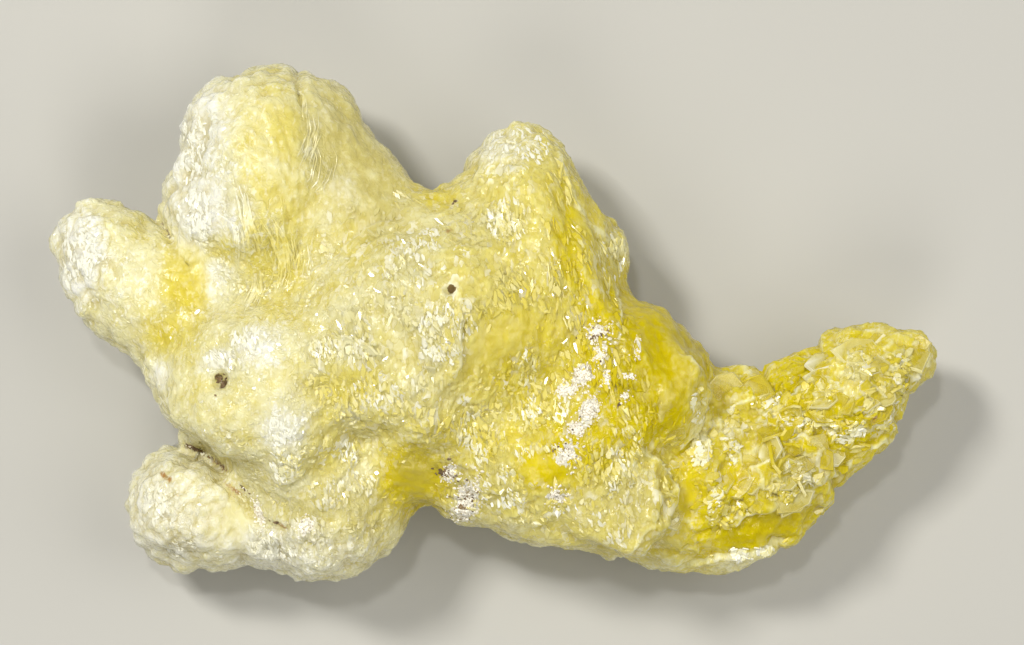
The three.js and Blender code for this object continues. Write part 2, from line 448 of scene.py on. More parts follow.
def crust_heaps() -> list[Heap]:
    """Where the white crust and the dark grains are."""
    return [
        Heap(7.2, -0.7, 1.1, 0.7, 90, 0.03), Heap(7.3, -0.95, 0.6, 0.14, 26, 0.9, 10),
        Heap(7.4, -2.1, 0.6, 0.9, 60), Heap(6.2, -3.5, 1.1, 0.8, 90, 0.02, 30),
        Heap(5.1, -4.6, 1.0, 0.6, 60, 0.0, 20), Heap(7.8, -3.8, 0.4, 0.8, 36),
        Heap(6.6, -6.0, 0.8, 1.2, 90, 0.02, -15), Heap(5.8, -7.2, 0.8, 0.6, 60),
        Heap(5.2, -9.0, 1.2, 1.0, 70, 0.1), Heap(9.35, -3.7, 0.45, 0.35, 24),
        Heap(9.9, -1.8, 0.3, 1.0, 30), Heap(9.1, -5.0, 0.35, 0.35, 16), Heap(4.4, -11.9, 0.8, 0.6, 70),
        Heap(-1.8, -12.4, 1.1, 2.0, 190, 0.08, -20), Heap(-3.0, -10.4, 0.7, 0.8, 70, 0.15),
        Heap(-3.3, -10.3, 0.55, 0.28, 30, 1.0, -10), Heap(-2.1, -12.7, 0.45, 0.4, 26, 1.0),
        Heap(-18.75, -3.8, 0.42, 0.5, 8, 1.0, 30), Heap(-18.4, -4.2, 0.3, 0.5, 7, 1.0, -30),
        Heap(-20.9, -8.9, 1.0, 0.2, 24, 0.9, -22), Heap(-18.9, -10.1, 0.8, 0.14, 9, 0.8, -30),
        Heap(-17.2, -11.5, 0.6, 0.12, 6, 0.8, -40), Heap(-14.9, -13.8, 0.4, 0.12, 5, 0.8),
        Heap(-16.2, -13.2, 0.35, 1.2, 60, 0.0, 15), Heap(-13.0, -14.0, 0.8, 0.7, 70, 0.0),
        Heap(-2.6, 8.4, 0.22, 0.16, 6, 1.0), Heap(8.7, -5.6, 0.35, 0.2, 5, 0.7),
    ]


@dataclass
class Growth:
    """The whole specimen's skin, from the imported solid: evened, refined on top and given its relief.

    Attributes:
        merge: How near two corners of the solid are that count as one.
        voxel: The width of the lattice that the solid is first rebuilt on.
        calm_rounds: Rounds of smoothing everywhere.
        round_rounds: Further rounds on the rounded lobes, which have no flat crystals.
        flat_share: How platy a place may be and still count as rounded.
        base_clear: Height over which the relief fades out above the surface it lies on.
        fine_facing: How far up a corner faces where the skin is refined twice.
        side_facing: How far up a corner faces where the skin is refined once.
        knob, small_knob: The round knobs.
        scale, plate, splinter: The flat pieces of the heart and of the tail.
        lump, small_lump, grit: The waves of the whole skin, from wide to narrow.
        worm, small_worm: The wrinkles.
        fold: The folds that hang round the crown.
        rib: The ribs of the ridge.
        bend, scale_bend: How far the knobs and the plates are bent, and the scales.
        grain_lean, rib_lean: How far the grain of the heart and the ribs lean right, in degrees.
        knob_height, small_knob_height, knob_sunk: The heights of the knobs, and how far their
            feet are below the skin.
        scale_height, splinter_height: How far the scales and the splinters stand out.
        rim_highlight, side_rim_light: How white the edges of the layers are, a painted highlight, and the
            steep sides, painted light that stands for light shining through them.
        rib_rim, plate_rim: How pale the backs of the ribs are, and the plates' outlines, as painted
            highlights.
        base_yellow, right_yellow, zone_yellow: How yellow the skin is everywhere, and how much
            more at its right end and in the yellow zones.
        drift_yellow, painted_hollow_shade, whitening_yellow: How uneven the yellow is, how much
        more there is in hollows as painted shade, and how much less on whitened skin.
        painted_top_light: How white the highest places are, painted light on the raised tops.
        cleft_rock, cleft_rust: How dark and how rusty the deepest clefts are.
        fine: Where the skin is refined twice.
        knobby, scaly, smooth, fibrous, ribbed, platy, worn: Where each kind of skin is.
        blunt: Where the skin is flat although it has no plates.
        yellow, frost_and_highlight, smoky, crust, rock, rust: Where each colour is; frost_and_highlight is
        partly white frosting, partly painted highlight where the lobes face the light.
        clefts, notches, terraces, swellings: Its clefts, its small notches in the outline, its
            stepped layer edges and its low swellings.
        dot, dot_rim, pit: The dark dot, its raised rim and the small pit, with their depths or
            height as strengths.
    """

    merge: float = 0.001
    voxel: float = 0.66
    calm_rounds: int = 2
    round_rounds: int = 5
    flat_share: float = 0.35
    base_clear: float = 1.6
    fine_facing: float = 0.5
    side_facing: float = -0.1

    knob: Cells = Cells((2.0, 2.0, 2.0))
    small_knob: Cells = Cells((1.1, 1.1, 1.1), 4.0)
    scale: Cells = Cells((0.6, 1.3, 0.6), 3.0, tilt=1.6, step=0.6)
    plate: Cells = Cells((2.4, 1.8, 1.4), 7.0, tilt=0.34, step=0.3)
    splinter: Cells = Cells((0.9, 0.7, 0.6), 1.0, tilt=0.3, step=0.16)
    lump: Pattern = Pattern(0.3, 3.2)
    small_lump: Pattern = Pattern(0.16, 1.5, 5.0)
    grit: Pattern = Pattern(0.09, 0.6, 8.0)
    worm: Pattern = Pattern(0.15, 1.1, 2.0, bend=0.7)
    small_worm: Pattern = Pattern(0.09, 0.62, 6.0, bend=0.4)
    fold: Pattern = Pattern(0.18, (0.62, 5.5, 2.0))
    rib: Pattern = Pattern(0.22, (1.3, 7.0, 3.0), 4.0, bend=0.3)
    bend: float = 0.5
    scale_bend: float = 0.3
    grain_lean: float = 14.0
    rib_lean: float = -20.0
    knob_height: float = 0.6
    small_knob_height: float = 0.35
    knob_sunk: float = 0.45
    scale_height: float = 0.14
    splinter_height: float = 0.6
    rim_highlight: float = 0.75
    side_rim_light: float = 0.42
    rib_rim: float = 0.36
    plate_rim: float = 0.9
    base_yellow: float = 0.16
    right_yellow: float = 0.3
    zone_yellow: float = 0.62
    drift_yellow: float = 0.18
    painted_hollow_shade: float = 0.12
    whitening_yellow: float = 0.3
    painted_top_light: float = 0.25
    cleft_rock: float = 0.62
    cleft_rust: float = 0.45

    dot: Zone = Zone(-2.8, 2.3, 0.34, 0.34, strength=0.4)
    dot_rim: Zone = Zone(-2.8, 2.3, 0.75, 0.75, strength=0.12)
    pit: Zone = Zone(-18.6, -3.9, 0.42, 0.62, -20, strength=0.5)
    blunt: Zone = Zone(10.0, -12.0, 3.2, 4.0)

    fine: list[Zone] = field(default_factory=lambda: [
        Zone(-2.0, 0.0, 19.0, 14.0), Zone(-16.0, 8.0, 9.0, 12.0), Zone(-24.0, 2.0, 8.0, 8.0),
        Zone(-16.0, -10.0, 11.0, 9.0), Zone(20.0, -8.0, 14.0, 9.0, 30),
    ])
    knobby: list[Zone] = field(default_factory=lambda: [
        Zone(-21.2, 12.5, 2.2, 5.5, -12, 0.9), Zone(-28.8, 5.0, 2.6, 4.2),
        Zone(-21.5, -13.0, 5.4, 5.4, 0, 0.4), Zone(-14.0, -16.0, 7.5, 2.4, 0, 0.5),
        Zone(-19.0, 17.0, 5.0, 1.6, 0, 0.7), Zone(0.5, 12.2, 2.6, 2.0, 0, 0.6),
        Zone(-16.0, 7.0, 2.0, 2.0, 0, 0.5),
    ])
    scaly: list[Zone] = field(default_factory=lambda: [
        Zone(-4.6, 4.0, 7.4, 4.6), Zone(-3.6, -2.6, 7.6, 5.4), Zone(1.0, 10.4, 3.2, 3.4, 0, 0.9),
        Zone(-11.0, -8.6, 5.0, 4.6, 0, 0.8), Zone(-12.4, -15.0, 6.2, 3.0, 0, 0.9),
        Zone(1.6, -10.6, 5.6, 4.6), Zone(9.4, -12.0, 3.6, 3.6, 0, 0.9), Zone(4.6, 1.6, 3.6, 4.4, 0, 0.6),
        Zone(-22.4, -3.4, 3.0, 3.0, 0, 0.6),
    ])
    smooth: list[Zone] = field(default_factory=lambda: [
        Zone(0.5, -1.0, 3.0, 1.7, 35), Zone(-5.4, -10.8, 2.0, 1.8), Zone(3.6, -10.0, 2.0, 1.2),
        Zone(-13.8, 11.2, 2.8, 4.6, 0, 0.8), Zone(-16.0, -5.6, 3.6, 3.0, 0, 0.5),
        Zone(-9.6, 11.4, 3.2, 6.0, 28, 0.8), Zone(12.0, -2.8, 1.5, 4.0, 15, 0.8),
        Zone(18.7, -14.3, 3.4, 1.4, 13), Zone(13.4, -11.8, 0.7, 1.6),
        Zone(-18.6, -14.0, 2.0, 2.6, 30, 0.8), Zone(-21.2, 3.4, 1.6, 2.2),
        Zone(10.2, 0.4, 1.2, 3.2, 20, 0.7),
    ])
    fibrous: list[Zone] = field(default_factory=lambda: [
        Zone(-14.6, 8.0, 3.6, 8.6, 8), Zone(-15.4, 2.4, 3.2, 3.2),
    ])
    ribbed: list[Zone] = field(default_factory=lambda: [
        Zone(5.0, 4.8, 3.8, 6.4, 15), Zone(11.4, -3.2, 3.6, 4.6, 0, 0.9),
    ])
    platy: list[Zone] = field(default_factory=lambda: [
        Zone(19.0, -9.4, 7.4, 8.4, 30), Zone(26.4, -4.6, 5.8, 5.0, 30),
        Zone(13.6, -11.0, 3.0, 5.6, 0, 0.9),
    ])
    worn: list[Zone] = field(default_factory=lambda: [
        Zone(-22.0, -13.4, 4.4, 4.4, 0, 0.6), Zone(-28.6, 4.6, 2.4, 3.8, 0, 0.8),
        Zone(-20.6, 10.0, 2.4, 6.0, 0, 0.6),
    ])
    yellow: list[Zone] = field(default_factory=lambda: [
        Zone(-21.2, 3.2, 1.7, 2.6, 0, 1.05), Zone(-22.2, -0.6, 2.2, 1.6, 0, 0.6),
        Zone(1.0, -0.9, 2.2, 1.9, 0, 0.5), Zone(5.0, 4.4, 0.8, 3.4, 18, 0.75),
        Zone(-11.0, -8.2, 3.0, 2.4, 0, 0.35), Zone(-19.0, 5.2, 1.4, 1.4, 0, 0.6),
        Zone(-14.1, 13.1, 1.6, 1.5, 0, 0.45), Zone(-9.4, 10.0, 3.0, 5.4, 20, 0.15),
        Zone(-4.0, 9.0, 2.0, 1.2, -20, 0.6), Zone(-11.0, -14.0, 4.0, 3.0, 0, 0.25),
        Zone(-15.0, 5.2, 2.2, 4.6, 0, 0.55), Zone(-5.4, -10.8, 2.6, 2.8, 0, 1.6),
        Zone(-6.6, -6.8, 3.6, 1.4, -10, 0.5), Zone(-5.0, -7.3, 2.2, 1.2, 0, 0.4),
        Zone(14.2, -1.6, 1.6, 2.8, 20, 1.3), Zone(-3.2, -8.6, 4.6, 2.6, 0, 0.6),
        Zone(3.6, -10.0, 2.6, 1.6, 0, 0.85), Zone(7.2, 3.0, 3.2, 8.4, 22, 0.6),
        Zone(10.8, -2.0, 4.6, 6.0, 10, 1.6), Zone(6.6, -7.6, 5.0, 3.6, 25, 0.8),
        Zone(-9.8, -4.4, 3.0, 1.4, 0, 0.6), Zone(18.8, -14.4, 3.0, 1.2, 13, 1.6),
        Zone(17.6, -13.6, 3.8, 2.0, 18), Zone(13.4, -11.4, 1.6, 2.4), Zone(19.0, -7.6, 3.6, 2.8, 0, 0.85),
        Zone(27.4, -4.6, 2.2, 3.0, 0, 0.8), Zone(22.6, -9.0, 3.6, 3.0, 0, 0.7),
        Zone(29.2, -2.4, 1.4, 1.6, 0, 0.7), Zone(2.4, -2.0, 5.0, 7.0, 0, 0.55),
        Zone(21.0, -8.0, 11.0, 8.0, 30, 0.85),
    ])
    # Where the skin is whitened: white frosting, and painted highlights where the lobes face the light.
    frost_and_highlight: list[Zone] = field(default_factory=lambda: [
        Zone(-28.8, 4.8, 2.2, 3.4, 0, 1.2), Zone(-20.4, 8.4, 2.8, 4.2, 10),
        Zone(-18.8, -2.6, 1.3, 0.7, 20, 0.9), Zone(-23.0, -3.6, 0.8, 1.2, 0, 0.7),
        Zone(-20.4, 12.8, 2.4, 4.4, -14), Zone(-15.8, -1.6, 1.8, 1.8, 0, 0.75),
        Zone(-26.0, 3.4, 3.4, 3.6, 0, 0.3), Zone(-14.2, -7.2, 1.8, 1.8, 0, 0.75),
        Zone(-22.6, -13.2, 4.8, 4.8, 0, 0.85), Zone(-15.0, -16.0, 7.0, 2.4, 0, 0.7),
        Zone(-10.4, 9.4, 1.6, 1.6, 0, 0.45), Zone(14.6, -7.4, 1.2, 2.4, 0, 0.4),
        Zone(24.6, -3.4, 1.6, 1.4, 0, 0.5), Zone(9.4, -11.4, 1.6, 2.4, 0, 0.15),
        Zone(17.4, -16.7, 3.2, 0.8, 12, 0.8), Zone(12.0, -16.9, 2.2, 0.7, 0, 0.6),
        Zone(0.6, 12.2, 2.4, 1.8, 0, 0.6), Zone(8.6, 5.0, 1.8, 1.8, 0, 0.5),
        Zone(-19.2, 3.2, 1.0, 1.8, 0, 0.8), Zone(-2.8, 2.3, 0.6, 0.6, 0, 0.6),
    ])
    smoky: list[Zone] = field(default_factory=lambda: [
        Zone(-4.0, 1.0, 10.0, 8.0, 0, 0.28), Zone(-20.0, -13.4, 6.0, 4.6, 0, 0.34),
        Zone(-18.4, -4.4, 4.0, 4.0, 0, 0.14), Zone(-21.2, 3.4, 1.5, 2.2, 0, 0.4),
        Zone(-9.4, 10.6, 3.2, 6.4, 28, 0.9), Zone(-6.6, 8.4, 3.0, 1.6, -20, 0.5),
        Zone(-12.0, 9.4, 2.4, 4.0, 20, 0.4), Zone(-11.0, -13.4, 4.4, 3.0, 0, 0.5),
        Zone(9.8, -12.6, 3.4, 3.2, 0, 0.6), Zone(-3.6, -9.4, 3.6, 2.6, 0, 0.35),
        Zone(21.0, -11.4, 3.0, 2.0, 20, 0.4), Zone(17.0, -7.0, 2.2, 2.6, 0, 0.4),
        Zone(28.0, -3.4, 2.2, 3.0, 0, 0.35), Zone(-3.0, 7.6, 2.2, 1.4, 0, 0.3),
        Zone(0.7, -1.0, 3.0, 1.8, 35, 0.45),
    ])
    crust: list[Zone] = field(default_factory=lambda: [
        heap.zone() for heap in crust_heaps() if heap.dark < 0.5
    ])
    rock: list[Zone] = field(default_factory=lambda: [
        *(heap.zone() for heap in crust_heaps() if heap.dark >= 0.5), Zone(-2.8, 2.3, 0.34, 0.34, 0, 1.2),
    ])
    rust: list[Zone] = field(default_factory=lambda: [
        Zone(-22.8, -10.6, 0.5, 0.24, -45, 0.85), Zone(-22.4, -10.9, 0.2, 0.4, -10, 0.8),
        Zone(-17.9, -11.6, 1.1, 0.22, -38, 0.8), Zone(-16.4, -12.9, 0.2, 0.5, 30, 0.7),
        Zone(-14.6, -14.0, 0.8, 0.2, -30, 0.7), Zone(26.6, -6.8, 0.34, 0.4, 0, 0.9),
        Zone(-3.0, 6.3, 0.4, 0.3, 0, 0.6), Zone(-19.8, -9.6, 1.6, 0.24, -28, 0.7),
    ])
    clefts: list[Groove] = field(default_factory=lambda: [
        Groove(((-24.3, 8.0), (-23.2, 7.1), (-22.5, 6.0)), 0.28, 0.7),
        Groove(((-22.6, -8.4), (-20.8, -9.0), (-18.8, -10.0)), 0.32, 0.8),
        Groove(((-19.2, -10.4), (-17.6, -11.9), (-16.4, -13.4), (-14.6, -14.2)), 0.35, 0.5),
        Groove(((-13.0, -8.6), (-11.0, -10.0), (-9.6, -12.2)), 0.5, 0.12),
    ])
    swellings: list[Zone] = field(default_factory=lambda: [
        Zone(-21.2, 3.5, 1.5, 2.2, 0, 0.7), Zone(-8.8, -6.2, 3.2, 1.3, -5, 0.8),
        Zone(-4.4, -7.2, 2.6, 1.2, -10, 0.6), Zone(-13.4, -11.2, 2.4, 1.2, -30, 0.6),
        Zone(-16.0, 6.0, 2.0, 1.8, 0, 0.5),
    ])
    notches: list[Groove] = field(default_factory=lambda: [
        Groove(((-13.7, 17.8), (-13.4, 16.6), (-13.0, 15.2)), 0.3, 0.5),
        Groove(((18.6, -2.4), (19.2, -4.4)), 0.3, 0.5), Groove(((24.6, -12.4), (23.8, -10.8)), 0.3, 0.45),
        Groove(((29.0, -7.6), (28.0, -6.4)), 0.25, 0.4),
        Groove(((20.6, -16.2), (19.6, -15.0)), 0.25, 0.35),
        Groove(((22.6, -0.6), (23.0, -2.2)), 0.25, 0.35),
    ])
    terraces: list[Terrace] = field(default_factory=lambda: [
        Terrace(
            ((8.6, -16.0), (11.0, -15.1), (12.3, -13.2), (12.6, -11.2), (11.8, -9.6), (10.2, -8.4)), 0.5, 2.6,
        ),
        Terrace(((9.6, -15.2), (10.9, -13.8), (11.5, -12.0), (11.0, -10.4), (9.8, -9.3)), 0.3, 2.0),
        Terrace(((13.0, -8.6), (14.2, -7.4), (14.7, -5.6), (14.6, -3.4), (13.6, -2.6)), 0.45, 2.4),
        Terrace(((-2.1, -2.6), (-2.0, 0.2)), 0.4, 1.6, 0.06),
        Terrace(((14.0, -16.9), (16.0, -16.2), (18.2, -16.0), (20.4, -15.2)), -0.4, 1.2),
        Terrace(((8.2, -2.4), (8.8, -0.6), (8.9, 1.2), (8.4, 2.8)), 0.18, 1.2),
        Terrace(((-12.6, 3.4), (-10.6, 5.0), (-8.8, 6.6), (-6.6, 7.4)), -0.3, 1.6),
        Terrace(((4.4, 12.0), (5.4, 9.2), (6.8, 6.6), (8.4, 5.2)), 0.2, 1.4),
        Terrace(((28.3, -3.6), (29.4, -3.8), (30.3, -2.8), (30.2, -1.6)), 0.22, 1.2),
        Terrace(((20.7, -12.0), (22.1, -10.9), (21.8, -9.6), (19.7, -9.0), (18.1, -9.8)), 0.28, 1.4),
        Terrace(((17.5, -9.6), (16.8, -8.2), (15.8, -6.6)), 0.25, 1.0),
        Terrace(((17.0, -13.9), (18.1, -13.1), (20.7, -12.8), (22.0, -12.6)), 0.3, 1.2),
        Terrace(((28.3, -6.9), (27.7, -5.0), (26.1, -4.0)), 0.22, 1.2),
        Terrace(((24.0, -11.4), (23.9, -9.6), (22.9, -8.3), (21.4, -7.6)), 0.26, 1.2),
        Terrace(((23.0, -1.2), (22.6, -2.8), (21.6, -4.2), (20.2, -5.2)), 0.3, 1.3),
        Terrace(((27.9, -8.0), (26.2, -8.4), (25.0, -9.6), (24.4, -11.0)), 0.25, 1.0),
        Terrace(((16.9, -5.9), (18.5, -5.2), (18.6, -3.9), (17.4, -3.2)), 0.25, 1.0),
        Terrace(((20.4, -8.2), (21.6, -7.0), (21.4, -5.8)), 0.2, 0.9),
        Terrace(((25.2, -6.2), (26.6, -5.6), (26.4, -4.6), (25.2, -3.4)), 0.2, 0.9),
    ])

    def build(self, solid: Object) -> Object:
        """Makes the skin as one closed mesh.

        Args:
            solid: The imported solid, which is left as it is.

        Returns:
            The finished piece, without a material.
        """
        piece = as_piece("brucite_skin", self.evened(self.rebuilt(solid)))
        self.raise_relief(piece.data, *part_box(NODE))
        piece.data.shade_smooth()
        return piece

    def rebuilt(self, solid: Object) -> Mesh:
        """Merges the solid's corners and rebuilds it as an even lattice.

        Args:
            solid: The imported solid.

        Returns:
            A new mesh.
        """
        shape = bmesh.new()
        shape.from_mesh(solid.data)
        bmesh.ops.remove_doubles(shape, verts=shape.verts, dist=self.merge * MM)
        holder = as_piece("lattice", shape)
        remesh = holder.modifiers.new("lattice", "REMESH")
        remesh.mode = "VOXEL"
        remesh.voxel_size = self.voxel * MM
        depsgraph = bpy.context.evaluated_depsgraph_get()
        even = bpy.data.meshes.new_from_object(holder.evaluated_get(depsgraph))
        bpy.data.objects.remove(holder)
        return even

    def evened(self, lattice: Mesh) -> BMesh:
        """Smooths the lattice's facets away and refines its upper side.

        Args:
            lattice: The lattice's mesh, which is removed.

        Returns:
            The finer shape.
        """
        shape = bmesh.new()
        shape.from_mesh(lattice)
        bpy.data.meshes.remove(lattice)
        places = np.array([corner.co[:] for corner in shape.verts]) / MM
        flat = spread(self.platy, places) + self.blunt.weight(places)
        rounded = [corner for corner, share in zip(shape.verts, flat) if share < self.flat_share]
        for turn in range(self.calm_rounds + self.round_rounds):
            corners = shape.verts if turn < self.calm_rounds else rounded
            bmesh.ops.smooth_vert(
                shape, verts=corners, factor=0.5, use_axis_x=True, use_axis_y=True, use_axis_z=True
            )
        for facing, only_fine in ((self.side_facing, False), (self.fine_facing, True)):
            shape.normal_update()
            chosen = [edge for edge in shape.edges if min(c.normal.z for c in edge.verts) > facing]
            if only_fine:
                ends = [(edge.verts[0].co + edge.verts[1].co)[:] for edge in chosen]
                kept = spread(self.fine, np.array(ends) / (2 * MM)) > EDGE_WEIGHT
                chosen = [edge for edge, share in zip(chosen, kept) if share]
            bmesh.ops.subdivide_edges(shape, edges=chosen, cuts=1, use_grid_fill=True, smooth=0.3)
        bmesh.ops.triangulate(shape, faces=[face for face in shape.faces if len(face.verts) > 4])
        return shape

    def relief(self, points: np.ndarray, outward: np.ndarray) -> tuple[np.ndarray, np.ndarray, np.ndarray]:
        """How far the skin stands out at each point, and where its crevices and its layers' edges are.

        Args:
            points: The corners' places.
            outward: The corners' normals.

        Returns:
            One height for each point, then how strongly painted shade darkens it, 1 deep in a crevice or at
            the foot of a layer's edge and 0 elsewhere, then 1 on the pale edge of a layer, where a highlight
            is painted, and 0 elsewhere.
        """
        smooth, ribbed = spread(self.smooth, points), spread(self.ribbed, points)
        scaly = (1.0 - smooth) * spread(self.scaly, points)
        platy = (1.0 - smooth) * spread(self.platy, points)
        calm = 1.0 - 0.7 * smooth
        steep = 1.0 - np.abs(outward[:, 2])
        knobby = np.clip(0.6 * spread(self.knobby, points) + 0.6 * steep * (1 - platy), 0.1, 1.0)
        knobby = knobby * calm * (1.0 - 0.6 * ribbed)
        worn = np.clip(0.35 * (1 - scaly) * (1 - platy) + spread(self.worn, points), 0.0, 1.0)

        bent = crumpled(points, self.bend)
        grain = crumpled(grained(points, self.grain_lean), self.scale_bend)
        large, middling = self.knob.domes(bent), self.small_knob.domes(bent)
        backs, small_backs = self.worm.backs(points), self.small_worm.backs(points)
        rib_backs = self.rib.backs(grained(points, self.rib_lean))

        lumps = self.lump.height * self.lump.waves(points)
        lumps = lumps + self.small_lump.height * calm * self.small_lump.waves(points)
        knobs = knobby * (self.knob_height * large + self.small_knob_height * middling - self.knob_sunk)
        scales = self.scale_height * scaly * self.scale.facets(grain)
        plates = platy * self.plate.facets(bent)
        splinters = self.splinter_height * platy * self.splinter.facets(bent)
        worms = self.worm.height * worn * (backs - 0.5)
        bare = np.clip(1.0 - scaly - platy, 0.0, 1.0)
        worms = worms + self.small_worm.height * calm * bare * (small_backs - 0.5)
        folds = self.fold.height * spread(self.fibrous, points) * (self.fold.backs(draped(points)) - 0.5)
        ribs = self.rib.height * ribbed * (rib_backs - 0.5)
        grit = self.grit.height * self.grit.waves(points)
        height = lumps + knobs + scales + plates + splinters + worms + folds + ribs + grit
        for cleft in self.clefts:
            height = height - cleft.depth * cleft.weight(points)
        upper = smooth_step(points[:, 2], 2.0, 6.0)
        for notch in self.notches:
            height = height - notch.depth * notch.weight(points) * upper

        # Painted shade: darker in the creases between the worms and round the feet of the knobs.
        crevice_shade = worn * (1.0 - backs) ** 3
        crevice_shade = crevice_shade + 0.8 * knobby * (1.0 - middling) ** 5 + 0.6 * knobby * (1.0 - large) ** 6
        outlined = platy * smooth_step(wavy(points, 1.7, 41.0), -0.25, 0.2)
        # Painted highlights: paler backs of the ribs and pale outlines of the plates.
        rims = np.maximum(
            self.rib_rim * ribbed * smooth_step(rib_backs, 0.45, 1.0),
            self.plate_rim * outlined * self.plate.borders(bent, 0.11),
        )
        shifts = np.column_stack([wavy(points, 0.9, 31.0), wavy(points, 0.9, 37.0)])
        # Each layer edge lifts the skin, with a painted highlight on its rim and painted shade at its foot.
        for terrace in self.terraces:
            layer, rim, foot = terrace.step(points, shifts)
            height = height + layer
            rims = np.maximum(rims, rim)
            crevice_shade = np.maximum(crevice_shade, foot)
        height = height + spread(self.swellings, points)
        height = height + self.dot_rim.weight(points)
        height = height - self.dot.weight(points) - self.pit.weight(points)
        return height, np.clip(crevice_shade, 0.0, 1.0), rims

    def raise_relief(self, mesh: Mesh, low: Vector, high: Vector) -> None:
        """Moves the skin out by its relief, keeps it in the solid's box and notes its traits.

        Args:
            mesh: The evened skin, which is changed.
            low: The box's lowest corner, in metres.
            high: The box's highest corner, in metres.
        """
        flat = np.empty(len(mesh.vertices) * 3)
        mesh.vertices.foreach_get("co", flat)
        points = flat.reshape(-1, 3) / MM
        normals = np.empty(len(mesh.vertices) * 3)
        mesh.vertex_normals.foreach_get("vector", normals)
        outward = normals.reshape(-1, 3)
        height, crevice_shade, rims = self.relief(points, outward)
        height = height * smooth_step(points[:, 2], 0.0, self.base_clear)
        raised = points + outward * height[:, None]
        floor, roof = np.array(low) / MM, np.array(high) / MM
        share = (raised - raised.min(axis=0)) / (raised.max(axis=0) - raised.min(axis=0))
        raised = floor + share * (roof - floor)
        mesh.vertices.foreach_set("co", (raised * MM).ravel())
        mesh.update()
        shares = self.traits(raised, height)
        shares[Trait.CREVICE_SHADE] = crevice_shade
        # Painted light: the steep sides are paler, as if light shone through them; the layers' pale edges
        # carry a painted highlight.
        pale = 1.0 - 0.7 * np.minimum(shares[Trait.YELLOW], 1.0)
        sides = self.side_rim_light * pale * smooth_step(1.0 - outward[:, 2], 0.7, 1.0)
        shares[Trait.FROST_AND_HIGHLIGHT] = np.maximum(shares[Trait.FROST_AND_HIGHLIGHT], np.maximum(self.rim_highlight * rims, sides))
        note_traits(mesh, shares)

    def traits(self, points: np.ndarray, height: np.ndarray) -> dict[Trait, np.ndarray]:
        """Each trait's share at each corner.

        Args:
            points: The corners' places.
            height: The relief at each corner.

        Returns:
            The shares, by trait.
        """
        drift = 0.5 + 0.5 * wavy(points, 3.4, 6.0)
        rightward = smooth_step(points[:, 0], -14.0, 14.0)
        low_relief = smooth_step(-height, -0.05, 0.3)
        scaly, platy, smooth = (spread(zones, points) for zones in (self.scaly, self.platy, self.smooth))
        frost_and_highlight_zones = spread(self.frost_and_highlight, points)
        yellow = self.base_yellow + self.right_yellow * rightward
        yellow = yellow + spread(self.yellow, points) * self.zone_yellow + self.drift_yellow * (drift - 0.5)
        # Painted shade: the hollows are a deeper yellow.
        yellow = yellow + self.painted_hollow_shade * low_relief - self.whitening_yellow * frost_and_highlight_zones
        # White frosting and painted highlights, and painted light on the raised tops.
        frost_and_highlight = frost_and_highlight_zones * (0.75 + 0.5 * (drift - 0.5)) + self.painted_top_light * smooth_step(height, 0.15, 0.45)
        covered = scaly + platy + 0.85 * spread(self.ribbed, points) + 0.85 * smooth
        clefts = np.zeros(len(points))
        for cleft in self.clefts[:2]:
            clefts = np.maximum(clefts, cleft.weight(points))
        return {
            Trait.YELLOW: np.clip(yellow, 0.0, 1.3),
            Trait.FROST_AND_HIGHLIGHT: np.clip(frost_and_highlight, 0.0, 1.0),
            Trait.SCALY: np.clip(0.2 + scaly, 0.0, 1.0) * (1.0 - smooth),
            Trait.CRUST: spread(self.crust, points),
            Trait.ROCK: np.maximum(spread(self.rock, points), self.cleft_rock * clefts),
            Trait.RUST: np.maximum(spread(self.rust, points), self.cleft_rust * clefts),
            Trait.PLATY: platy * (1.0 - smooth),
            Trait.SMOKY: spread(self.smoky, points),
            Trait.KNOBBY: np.clip(1.0 + spread(self.knobby, points) - covered, 0.0, 1.0),
        }


def note_traits(mesh: Mesh, shares: dict[Trait, np.ndarray]) -> None:
    """Keeps each trait's share on the corners of a mesh.

    Args:
        mesh: The mesh, which is changed.
        shares: One share for each corner, by trait.
    """
    for trait, values in shares.items():
        layer = mesh.attributes.new(trait.value, "FLOAT", "POINT")
        layer.data.foreach_set("value", values.astype(np.float32))


